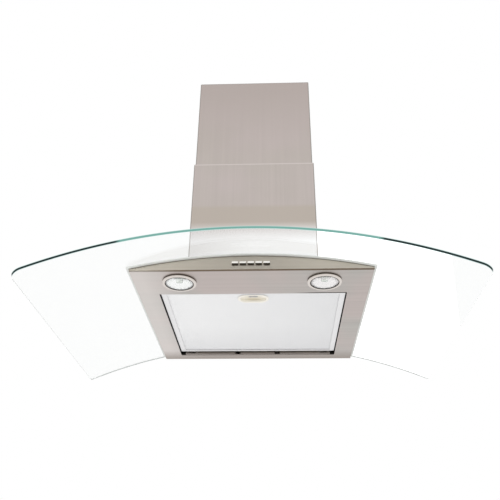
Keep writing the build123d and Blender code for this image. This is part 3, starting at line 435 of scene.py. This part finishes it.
finishOf = {
    "body_steel": topSteel(), "panel_steel": panelSteel(), "chimney_steel": upperSteel(),
    "zinc_plate": zincPlate(), "cream_plastic": cupPlastic(), "mesh_pad": padMesh(),
    "clear_glass": clearGlass("canopy glass", (0.992, 0.999, 0.996), 0.98),
    "lens_glass": clearGlass("lens glass", (0.99, 0.995, 0.99), 1.0),
    "bulb_glass": clearGlass("bulb glass", (0.9, 0.93, 0.9), 1.0),
    "pale_seal": moulded("pale seal", (0.84, 0.86, 0.83), 0.6),
    "dark_rubber": moulded("dark rubber", (0.03, 0.03, 0.03), 0.7),
    "chrome_trim": brightMetal("chrome", (0.82, 0.82, 0.81), 0.04),
    "bright_screws": brightMetal("screw metal", (0.66, 0.66, 0.67), 0.2),
    "spring_steel": brightMetal("spring steel", (0.60, 0.60, 0.61), 0.2),
    "filter_aluminium": brightMetal("filter aluminium", (0.89, 0.885, 0.89), 0.3),
    "reflector_aluminium": brightMetal("reflector aluminium", (0.93, 0.93, 0.93), 0.06),
    "lamp_shell": brightMetal("lamp shell", (0.55, 0.55, 0.56), 0.35),
    "black_plastic": moulded("black plastic", (0.035, 0.035, 0.038), 0.5),
    "grey_plastic": moulded("grey plastic", (0.25, 0.26, 0.27), 0.5),
    "white_plastic": moulded("white plastic", (0.78, 0.78, 0.76), 0.45),
    "motor_paint": moulded("motor paint", (0.08, 0.08, 0.085), 0.4, 500.0, 0.0001),
}
rimMaterial = rimGlass()
ownFinish = {"bottom_pan": panSteel(), "lower_chimney": lowerSteel()}
buttonMaterial = buttonChrome()
faceMaterial = faceAluminium()
print("finishes made,", len(finishOf) + len(ownFinish) + 3)

for node, finish in slotOf.items():   # every CAD node gets its finish, shown or not
    held = nodes[node].data.materials
    held.clear()
    held.append(finishOf[finish])


def made(name, bm, *materials):   # a bmesh becomes a linked object
    mesh = bpy.data.meshes.new(name)
    bm.to_mesh(mesh)
    bm.free()
    for material in materials:
        mesh.materials.append(material)
    piece = bpy.data.objects.new(name, mesh)
    bpy.context.scene.collection.objects.link(piece)
    return piece


def settle(piece):   # modifiers become plain mesh
    bpy.context.view_layer.update()
    graph = bpy.context.evaluated_depsgraph_get()
    shown = piece.evaluated_get(graph)
    mesh = bpy.data.meshes.new_from_object(shown, preserve_all_data_layers=True, depsgraph=graph)
    spent = piece.data
    piece.modifiers.clear()
    piece.data = mesh
    bpy.data.meshes.remove(spent)
    return piece


def smoothed(piece, angle):   # smooth faces, sharp edges past the angle, normals led by the large faces
    piece.data.polygons.foreach_set("use_smooth", [True] * len(piece.data.polygons))
    piece.data.set_sharp_from_angle(angle=math.radians(angle))
    weighted = piece.modifiers.new("weighted", "WEIGHTED_NORMAL")
    weighted.keep_sharp = True
    return settle(piece)


def dressed(piece, *replaced):   # takes the place of CAD nodes of one body
    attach(piece, nodes[replaced[0]]["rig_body"])
    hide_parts(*replaced)
    return piece


def wordsJoined(node):
    first, *rest = node.split("_")
    return first + "".join(word.capitalize() for word in rest)


softening = {"merge": 2e-6, "flat": 0.03, "sharp": 35.0, "smooth": 44.0}   # metres, then degrees


def welded(node):   # the CAD mesh with its seams closed
    bm = bmesh.new()
    bm.from_mesh(nodes[node].data)
    bmesh.ops.remove_doubles(bm, verts=bm.verts, dist=softening["merge"])
    return bm


def softCopy(node, material=None, edge=0.0003, steps=2):   # the CAD shape with its edges broken
    flat, sharp = (math.radians(softening[key]) for key in ("flat", "sharp"))
    bm = welded(node)
    bmesh.ops.dissolve_limit(bm, angle_limit=flat, verts=bm.verts, edges=bm.edges)
    if edge:
        crisp = [e for e in bm.edges if e.is_manifold and e.calc_face_angle(0.0) > sharp]
        bmesh.ops.bevel(bm, geom=crisp, offset=edge, segments=steps, profile=0.6, affect="EDGES",
                        clamp_overlap=True)
    piece = made(wordsJoined(node), bm, material or finishOf[slotOf[node]])
    return dressed(smoothed(piece, softening["smooth"]), node)


# sheet steel, mouldings and fittings: broken edges and smooth curves
brokenEdges = {
    "bottom_pan": 0.0004, "canopy_top": 0.0003, "control_panel": 0.0004, "upper_chimney": 0.00025,
    "lower_chimney": 0.00025, "glass_gasket": 0.0005, "glass_bolts": 0.0003, "glass_washers": 0.0003,
    "ceiling_plate": 0.0004, "chimney_brackets": 0.0003, "blower_box": 0.0003, "motor_spider": 0.0003,
    "filter_frame": 0.00025, "latch_cup": 0.0003, "filter_latch": 0.0003, "filter_leaf_springs": 0.0001,
    "switch_block": 0.0006, "scroll_front": 0.0003, "scroll_rear": 0.0003, "motor": 0.0006,
    "motor_shaft": 0.0003, "impeller": 0.0, "outlet_collar": 0.0004, "flap_left": 0.0002,
    "flap_right": 0.0002, "flap_pin": 0.0002, "terminal_box": 0.0008, "lamp_transformer": 0.0008,
    "capacitor": 0.0008, "filter_core": 0.0003,
}
for corner in ("front_left", "front_right", "rear_left", "rear_right"):
    brokenEdges["upper_upright_" + corner] = 0.0003
    brokenEdges["lower_upright_" + corner] = 0.0003
for side in ("left", "right"):
    brokenEdges["lamp_can_" + side] = 0.0002
    brokenEdges["lamp_lens_" + side] = 0.0002
    brokenEdges["lamp_bulb_" + side] = 0.0006
for node, edge in brokenEdges.items():
    softCopy(node, ownFinish.get(node), edge)
for number in range(1, 6):
    softCopy(f"push_button_{number}", buttonMaterial, 0.0011, 4)
print("softened pieces,", len(brokenEdges) + 5)


def roundedLoop(x0, y0, x1, y1, radii, steps):   # anticlockwise, from the corner x0, y0
    corners = ((x0, y0, 1, 1), (x1, y0, -1, 1), (x1, y1, -1, -1), (x0, y1, 1, -1))
    points = []
    for k, (cx, cy, sx, sy) in enumerate(corners):
        for i in range(steps + 1):
            turn = math.pi * (1.0 + k / 2) + math.pi / 2 * i / steps
            points.append((cx + radii[k] * (sx + math.cos(turn)), cy + radii[k] * (sy + math.sin(turn))))
    return points


glassSheet = {"thickness": 0.006, "radius": 1.127, "corners": (0.024, 0.024, 0.006, 0.006), "arris": 0.0007,
              "cutout": 0.128, "cutoutCorner": 0.010, "hole": 0.005, "bendSteps": 120, "cornerSteps": 12,
              "cutoutSteps": 6, "holeSides": 24, "crisp": 60.0, "smooth": 50.0,
              "bolts": ((-0.078, -0.205), (0.078, -0.205), (-0.180, 0.228), (0.180, 0.228))}


def glassCanopy():
    low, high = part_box("glass_canopy")
    radius = glassSheet["radius"]
    cutout = glassSheet["cutout"]

    def unrolled(x):   # along the arch
        return radius * math.asin(x / radius)

    half = unrolled(high.x)
    side, corner = unrolled(cutout), glassSheet["cutoutCorner"]
    loops = [roundedLoop(-half, low.y, half, high.y, glassSheet["corners"], glassSheet["cornerSteps"]),
             roundedLoop(-side, -cutout, side, cutout, [corner] * 4, glassSheet["cutoutSteps"])]
    hole, sides = glassSheet["hole"], glassSheet["holeSides"]
    turns = [math.tau * i / sides for i in range(sides)]
    for x, y in glassSheet["bolts"]:
        loops.append([(unrolled(x) + hole * math.cos(t), y + hole * math.sin(t)) for t in turns])
    bm = bmesh.new()
    edges = []
    for loop in loops:
        ring = [bm.verts.new((x, y, 0.0)) for x, y in loop]
        edges += [bm.edges.new((a, b)) for a, b in zip(ring, ring[1:] + ring[:1])]
    bmesh.ops.triangle_fill(bm, edges=edges, use_beauty=True, normal=(0.0, 0.0, 1.0))
    for k in range(1, glassSheet["bendSteps"]):
        across = half * (2.0 * k / glassSheet["bendSteps"] - 1.0)
        bmesh.ops.bisect_plane(bm, geom=bm.verts[:] + bm.edges[:] + bm.faces[:], dist=1e-7,
                               plane_co=(across, 0.0, 0.0), plane_no=(1.0, 0.0, 0.0))
    for v in bm.verts:
        turn = v.co.x / radius
        v.co = (radius * math.sin(turn), v.co.y, high.z + radius * (math.cos(turn) - 1.0))
    bmesh.ops.recalc_face_normals(bm, faces=bm.faces)
    if sum(f.normal.z for f in bm.faces) < 0.0:
        bmesh.ops.reverse_faces(bm, faces=bm.faces)
    piece = made("glassCanopy", bm, finishOf["clear_glass"], rimMaterial)
    wall = piece.modifiers.new("wall", "SOLIDIFY")
    wall.thickness = glassSheet["thickness"]
    wall.offset = -1.0
    wall.use_even_offset = True
    wall.material_offset_rim = 1
    arris = piece.modifiers.new("arris", "BEVEL")
    arris.width = glassSheet["arris"]
    arris.segments = 2
    arris.limit_method = "ANGLE"
    arris.angle_limit = math.radians(glassSheet["crisp"])
    settle(piece)
    dressed(smoothed(piece, glassSheet["smooth"]), "glass_canopy")
    piece.visible_shadow = False
    print("glass canopy bent,", len(piece.data.polygons), "faces")


glassCanopy()

# left and right are lit and shaded copies of one reflector tone, and wall is painted shade
lampLook = {"facets": 22, "rows": 5, "bowl": 1.25, "sheet": 0.0006, "lip": 0.0304, "rim": 0.0287,
            "floor": 0.0100, "spot": (0.66, 0.69, 0.65), "left": (0.99, 0.99, 0.99),
            "right": (0.91, 0.88, 0.885), "ring": (0.74, 0.69, 0.65), "ringScuffed": (0.66, 0.61, 0.57),
            "wall": (0.07, 0.06, 0.05), "wallFoot": -0.6218, "inner": (0.12, 0.105, 0.095)}


class LampFinish(Finish):   # a finish that knows how far a point is from the lamp's axis
    def __init__(self, name, middle):
        super().__init__(name)
        offset = self.node("ShaderNodeVectorMath", {"operation": "SUBTRACT"}, {0: self.place(), 1: middle})
        flat = self.node("ShaderNodeVectorMath", {"operation": "MULTIPLY"}, {0: offset, 1: (1.0, 1.0, 0.0)})
        self.radius = self.node("ShaderNodeVectorMath", {"operation": "LENGTH"}, {0: flat}, out="Value")
        self.scuff = self.noise((120.0, 120.0, 120.0), detail=4.0)


def ringChrome(side, middle):   # bright face, painted shade on its side wall and a dark inner lip
    f = LampFinish("lamp ring chrome " + side, middle)
    tone = f.mix(f.scuff, lampLook["ringScuffed"], lampLook["ring"])
    # painted shade on the side wall, near the pan
    wall = f.ramp(abs(f.facing("Z")), (0.15, 1.0), (0.6, 0.0)) * (f.along("Z") > lampLook["wallFoot"])
    colour = f.mix(wall, tone, lampLook["wall"])
    colour = f.mix(f.radius < lampLook["lip"], colour, lampLook["inner"])
    return f.surface(colour, 0.08 + f.scuff * 0.06, metallic=1.0)


def spotAluminium(side, middle):   # mirror facets, greyer round the bulb's hole, the right one with painted shade that makes it darker than the left
    f = LampFinish("reflector facets " + side, middle)
    spot = f.ramp(f.radius * 50.0, (0.48, 1.0), (0.62, 0.0))
    # painted shade: the right reflector's tone is darker than the left
    tone = lampLook[side]
    bright = f.mix(f.scuff, scaled(tone, 0.945), tone)
    return f.surface(f.mix(spot, bright, lampLook["spot"]), 0.07 + f.scuff * 0.08, metallic=1.0)


def reflector(side):
    node = "lamp_reflector_" + side
    low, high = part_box(node)
    middle = (low + high) / 2
    rim, floor, sheet = lampLook["rim"], lampLook["floor"], lampLook["sheet"]
    count, rows = lampLook["facets"], lampLook["rows"]
    bm = bmesh.new()
    rings = []
    for row in range(rows + 1):
        share = row / rows
        r = rim + (floor - rim) * share ** lampLook["bowl"]
        z = low.z + (high.z - sheet - low.z) * math.sin(share * math.pi / 2)
        turns = [math.tau * (i + 0.5 * (row % 2)) / count for i in range(count)]
        ring = [(middle.x + r * math.cos(t), middle.y + r * math.sin(t), z) for t in turns]
        rings.append([bm.verts.new(place) for place in ring])
    for row, (a, b) in enumerate(zip(rings, rings[1:])):
        for i in range(count):
            j = (i + 1) % count
            if row % 2 == 0:
                bm.faces.new((a[i], b[i], a[j]))
                bm.faces.new((a[j], b[i], b[j]))
            else:
                bm.faces.new((a[i], b[i], b[j]))
                bm.faces.new((a[i], b[j], a[j]))
    bm.faces.new(rings[-1])
    bmesh.ops.recalc_face_normals(bm, faces=bm.faces)
    if sum(f.normal.z for f in bm.faces) > 0.0:
        bmesh.ops.reverse_faces(bm, faces=bm.faces)
    piece = made("lampReflector" + side.capitalize(), bm, spotAluminium(side, middle))
    wall = piece.modifiers.new("wall", "SOLIDIFY")
    wall.thickness = sheet
    wall.offset = -1.0
    dressed(settle(piece), node)


for side in ("left", "right"):
    low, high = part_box("lamp_ring_" + side)
    softCopy("lamp_ring_" + side, ringChrome(side, (low + high) / 2), 0.0002)
    reflector(side)
print("lamps made")


# a Geometry Nodes tree with named inputs
class Layout(Tree):
    sockets = {"Geometry": "NodeSocketGeometry", "Material": "NodeSocketMaterial",
               "Piece": "NodeSocketObject", "Columns": "NodeSocketInt", "Rows": "NodeSocketInt"}

    def __init__(self, name, *inputs):
        group = bpy.data.node_groups.new(name, "GeometryNodeTree")
        super().__init__(group)
        self.keys = {}
        for label in inputs:
            kind = self.sockets.get(label, "NodeSocketFloat")
            self.keys[label] = group.interface.new_socket(label, in_out="INPUT", socket_type=kind).identifier
        group.interface.new_socket("Geometry", in_out="OUTPUT", socket_type="NodeSocketGeometry")
        source = group.nodes.new("NodeGroupInput")
        self.given = {label: Wire(self, source.outputs[label]) for label in inputs}

    def close(self, shape):   # realise, paint, hand over
        real = self.node("GeometryNodeRealizeInstances", inputs={"Geometry": shape})
        material = self.given["Material"]
        painted = self.node("GeometryNodeSetMaterial", inputs={"Geometry": real, "Material": material})
        self.node("NodeGroupOutput", inputs={"Geometry": painted})

    def run(self, piece, values):
        modifier = piece.modifiers.new("layout", "NODES")
        modifier.node_group = self.tree
        for label, value in values.items():
            modifier[self.keys[label]] = value
        return settle(piece)


faceMesh = {"pitchX": 0.0044, "pitchY": 0.0050, "strand": 0.0011, "thick": 0.00014, "lap": 0.00003,
            "cupMargin": 0.0015, "sideMargin": 0.006, "endMargin": 0.007, "behind": 0.00015}


def meshLayout():   # diamonds of stretched sheet, left out where the cup sits
    t = Layout("stretched mesh", "Width", "Depth", "Columns", "Rows", "Strand Length", "Strand", "Thick",
               "Slant", "Lap", "Cup Half", "Cup Radius", "Cup Y", "Middle Y", "Level", "Material")
    g = t.given
    grid = t.node("GeometryNodeMeshGrid", inputs={"Size X": g["Width"], "Size Y": g["Depth"],
                                                  "Vertices X": g["Columns"], "Vertices Y": g["Rows"]})
    shift = t.node("ShaderNodeCombineXYZ", inputs={"Y": g["Middle Y"], "Z": g["Level"]})
    grid = t.node("GeometryNodeTransform", inputs={"Geometry": grid, "Translation": shift})
    at = t.node("GeometryNodeInputPosition")
    x, y = (t.node("ShaderNodeSeparateXYZ", inputs={"Vector": at}, out=axis) for axis in "XY")
    beyond = t.node("ShaderNodeMath", {"operation": "MAXIMUM"}, {0: abs(x) - g["Cup Half"], 1: 0.0})
    away = y - g["Cup Y"]
    inCup = (beyond * beyond + away * away) < g["Cup Radius"] * g["Cup Radius"]
    kept = t.node("GeometryNodeDeleteGeometry", {"domain": "POINT"}, {"Geometry": grid, "Selection": inCup})
    points = t.node("GeometryNodeMeshToPoints", inputs={"Mesh": kept})
    size = t.node("ShaderNodeCombineXYZ", inputs={"X": g["Strand"], "Y": g["Strand Length"], "Z": g["Thick"]})
    bar = t.node("GeometryNodeMeshCube", inputs={"Size": size})
    join = t.tree.nodes.new("GeometryNodeJoinGeometry")
    for way in (1.0, -1.0):
        turn = t.node("ShaderNodeCombineXYZ", inputs={"Z": g["Slant"] * way})
        step = t.node("ShaderNodeCombineXYZ", inputs={"Z": g["Lap"] * way})
        leg = t.node("GeometryNodeTransform", inputs={"Geometry": bar, "Rotation": turn, "Translation": step})
        t.tree.links.new(leg.socket, join.inputs[0])
    cells = {"Points": points, "Instance": Wire(t, join.outputs[0])}
    t.close(t.node("GeometryNodeInstanceOnPoints", inputs=cells))
    return t


def filterFace():
    meshLow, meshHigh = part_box("filter_mesh")
    cupLow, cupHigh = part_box("latch_cup")
    width = meshHigh.x - meshLow.x - faceMesh["sideMargin"]
    depth = meshHigh.y - meshLow.y - faceMesh["endMargin"]
    pitchX, pitchY = faceMesh["pitchX"], faceMesh["pitchY"]
    cupRadius = (cupHigh.y - cupLow.y) / 2
    piece = made("filterFace", bmesh.new())
    meshLayout().run(piece, {
        "Width": width, "Depth": depth, "Columns": int(width / pitchX) + 1, "Rows": int(depth / pitchY) + 1,
        "Strand Length": math.hypot(pitchX, pitchY), "Slant": math.atan2(pitchX, pitchY),
        "Strand": faceMesh["strand"], "Thick": faceMesh["thick"], "Lap": faceMesh["lap"],
        "Cup Half": (cupHigh.x - cupLow.x) / 2 - cupRadius, "Cup Radius": cupRadius + faceMesh["cupMargin"],
        "Cup Y": (cupLow.y + cupHigh.y) / 2, "Middle Y": (meshLow.y + meshHigh.y) / 2,
        "Level": meshHigh.z - faceMesh["behind"] - faceMesh["thick"] / 2, "Material": faceMaterial})
    dressed(piece, "filter_mesh")
    print("filter face,", len(piece.data.polygons), "faces")


filterFace()

screwLook = {"slot": 0.22, "slotLength": 1.25, "slotDepth": 0.55, "dome": 0.35, "domeSteps": 5, "point": 0.3,
             "sides": 20, "headShare": 0.9, "tailBand": 1e-4, "smooth": 40.0,
             "seatGap": 0.00005}   # heads clear their seats, since the clamp screws slide along the uprights


def islands(node):   # loose solids of a CAD node, as lists of points
    bm = welded(node)
    bm.verts.index_update()
    left = {v.index: v for v in bm.verts}
    found = []
    while left:
        front = [left.pop(min(left))]
        group = []
        while front:
            v = front.pop()
            group.append(v.co.copy())
            for other in (e.other_vert(v) for e in v.link_edges):
                if other.index in left:
                    front.append(left.pop(other.index))
        found.append(group)
    bm.free()
    return found


def screwSizes(points):   # seat of the head, way out, head radius and height, shank radius and length
    low = Vector([min(p[i] for p in points) for i in range(3)])
    high = Vector([max(p[i] for p in points) for i in range(3)])
    size, middle = high - low, (low + high) / 2
    axis = min(range(3), key=lambda i: abs(size[(i + 1) % 3] - size[(i + 2) % 3]))
    u, v = (axis + 1) % 3, (axis + 2) % 3
    radius = size[u] / 2
    out = [math.hypot(p[u] - middle[u], p[v] - middle[v]) for p in points]
    head = [p[axis] for p, r in zip(points, out) if r > screwLook["headShare"] * radius]
    sign = 1.0 if sum(head) / len(head) > middle[axis] else -1.0
    top, tail = (high[axis], low[axis]) if sign > 0.0 else (low[axis], high[axis])
    under = min(head) if sign > 0.0 else max(head)
    shank = max(r for p, r in zip(points, out) if abs(p[axis] - tail) < screwLook["tailBand"])
    seat, way = middle.copy(), Vector((0.0, 0.0, 0.0))
    seat[axis] = under
    way[axis] = sign
    return seat, way, radius, abs(top - under), shank, abs(under - tail)


def screwBlank(name, radius, height, shank, length):   # crossed pan head on a plain shank, head towards +Z
    crown, steps = height * screwLook["dome"], screwLook["domeSteps"]
    curve = [math.pi / 2 * i / steps for i in range(steps + 1)]
    profile = [(radius * math.sin(a), height - crown + crown * math.cos(a)) for a in curve]
    point = shank * screwLook["point"]
    profile += [(radius, 0.0), (shank, 0.0)]
    profile += [(shank, point - length), (shank - point, -length), (0.0, -length)]
    bm = bmesh.new()
    line = [bm.verts.new((r, 0.0, z)) for r, z in profile]
    edges = [bm.edges.new(pair) for pair in zip(line, line[1:])]
    bmesh.ops.spin(bm, geom=line + edges, cent=(0, 0, 0), axis=(0, 0, 1), angle=math.tau,
                   steps=screwLook["sides"], use_merge=True)
    bmesh.ops.remove_doubles(bm, verts=bm.verts, dist=1e-6)
    bmesh.ops.recalc_face_normals(bm, faces=bm.faces)
    blank = made(name, bm)
    slot = bmesh.new()
    cross = (screwLook["slotLength"], screwLook["slot"])
    for long, wide in (cross, cross[::-1]):
        size = Matrix.Diagonal((radius * long, radius * wide, height * 2.0 * screwLook["slotDepth"], 1.0))
        bmesh.ops.create_cube(slot, size=1.0, matrix=Matrix.Translation((0.0, 0.0, height)) @ size)
    cutter = made(name + "Cutter", slot)
    cut = blank.modifiers.new("cut", "BOOLEAN")
    cut.object = cutter
    cut.use_self = True
    settle(blank)
    bpy.data.objects.remove(cutter)
    return blank


def settingOut():   # one piece on each point, turned to the point's own direction
    t = Layout("setting out", "Geometry", "Piece", "Material")
    piece = t.node("GeometryNodeObjectInfo", inputs={"Object": t.given["Piece"]}, out="Geometry")
    way = t.node("GeometryNodeInputNamedAttribute", {"data_type": "FLOAT_VECTOR"}, {"Name": "facing"})
    turn = t.node("FunctionNodeAlignRotationToVector", {"axis": "Z"}, {"Vector": way})
    pieces = {"Points": t.given["Geometry"], "Instance": piece, "Rotation": turn}
    t.close(t.node("GeometryNodeInstanceOnPoints", inputs=pieces))
    return t


def screws(node, layout):
    found = [screwSizes(points) for points in islands(node)]
    blank = screwBlank(wordsJoined(node) + "Blank", *found[0][2:])
    bm = bmesh.new()
    for seat, way, *rest in found:
        bm.verts.new(seat + way * screwLook["seatGap"])
    piece = made(wordsJoined(node), bm)
    facing = piece.data.attributes.new("facing", "FLOAT_VECTOR", "POINT")
    for item, (seat, way, *rest) in zip(facing.data, found):
        item.vector = way
    layout.run(piece, {"Piece": blank, "Material": finishOf[slotOf[node]]})
    bpy.data.objects.remove(blank)
    dressed(smoothed(piece, screwLook["smooth"]), node)


screwLayout = settingOut()
for node in ("upper_chimney_screws", "lower_chimney_screws", "clamp_screws", "collar_screws"):
    screws(node, screwLayout)
print("screws set out")

# stage: pale floor, white surroundings, soft lamps
stage = {"floorDrop": 2.4, "floorSize": 20.0}
white = (1.0, 1.0, 1.0, 1.0)


def paleFloor():   # plain white where it shows in the metal or through the glass
    f = Finish("pale floor")
    speck = f.noise((3.0, 3.0, 3.0), detail=4.0)
    tone = f.mix(speck, (0.94, 0.94, 0.94), (0.97, 0.97, 0.97))
    plain = f.node("ShaderNodeBsdfDiffuse", inputs={"Color": tone})
    glow = f.node("ShaderNodeEmission", inputs={"Color": white, "Strength": 1.0})
    mirrored = f.node("ShaderNodeLightPath", out="Is Glossy Ray")
    through = f.node("ShaderNodeLightPath", out="Is Transmission Ray")
    material = f.show(f.node("ShaderNodeMixShader", inputs={0: mirrored + through, 1: plain, 2: glow}))
    bm = bmesh.new()
    bmesh.ops.create_grid(bm, x_segments=1, y_segments=1, size=stage["floorSize"] / 2,
                          matrix=Matrix.Translation((0.0, 0.0, cadBox[0][2] - stage["floorDrop"])))
    made("floor", bm, material)


def whiteSurroundings():
    world = bpy.data.worlds.new("white surroundings")
    bpy.context.scene.world = world
    world.use_nodes = True
    w = Tree(world.node_tree)
    paper = w.node("ShaderNodeBackground", inputs={"Color": white, "Strength": 1.0})
    w.node("ShaderNodeOutputWorld", inputs={"Surface": paper})


softboxes = {   # place, what it faces, size, power
    "key": ((-1.6, -2.2, 0.5), (0.0, 0.0, -0.45), 1.8, 10.0),
    "fill": ((1.9, -1.5, -0.2), (0.0, 0.0, -0.45), 1.6, 5.0),
    "back": ((0.4, 2.4, 0.6), (0.0, 0.0, -0.3), 1.6, 6.0),
}


def softLamps():
    for name, (place, target, size, power) in softboxes.items():
        data = bpy.data.lights.new(name, "AREA")
        data.size = size
        data.energy = power
        lamp = bpy.data.objects.new(name, data)
        lamp.visible_glossy = False   # the surroundings alone show in the metal
        lamp.location = place
        lamp.rotation_euler = (Vector(target) - Vector(place)).to_track_quat("-Z", "Y").to_euler()
        bpy.context.scene.collection.objects.link(lamp)


view = {"place": (0.0480, -1.3746, -1.2252), "yaw": -2.55, "pitch": 30.11, "roll": -0.64, "lens": 45.7,
        "sensor": 36.0}


def setCamera():
    yaw, pitch, roll = (math.radians(view[key]) for key in ("yaw", "pitch", "roll"))
    forward = Vector((math.sin(yaw) * math.cos(pitch), math.cos(yaw) * math.cos(pitch), math.sin(pitch)))
    right = Vector((math.cos(yaw), -math.sin(yaw), 0.0))
    down = forward.cross(right)
    rolledRight = math.cos(roll) * right + math.sin(roll) * down
    rolledDown = math.cos(roll) * down - math.sin(roll) * right
    data = bpy.data.cameras.new("camera")
    data.lens = view["lens"]
    data.sensor_width = view["sensor"]
    camera = bpy.data.objects.new("camera", data)
    axes = Matrix((rolledRight, -rolledDown, -forward)).transposed().to_4x4()
    camera.matrix_world = Matrix.Translation(view["place"]) @ axes
    bpy.context.scene.collection.objects.link(camera)
    bpy.context.scene.camera = camera


paleFloor()
whiteSurroundings()
softLamps()
setCamera()
bpy.context.scene.view_settings.view_transform = "Standard"
print("stage, lamps and camera set")
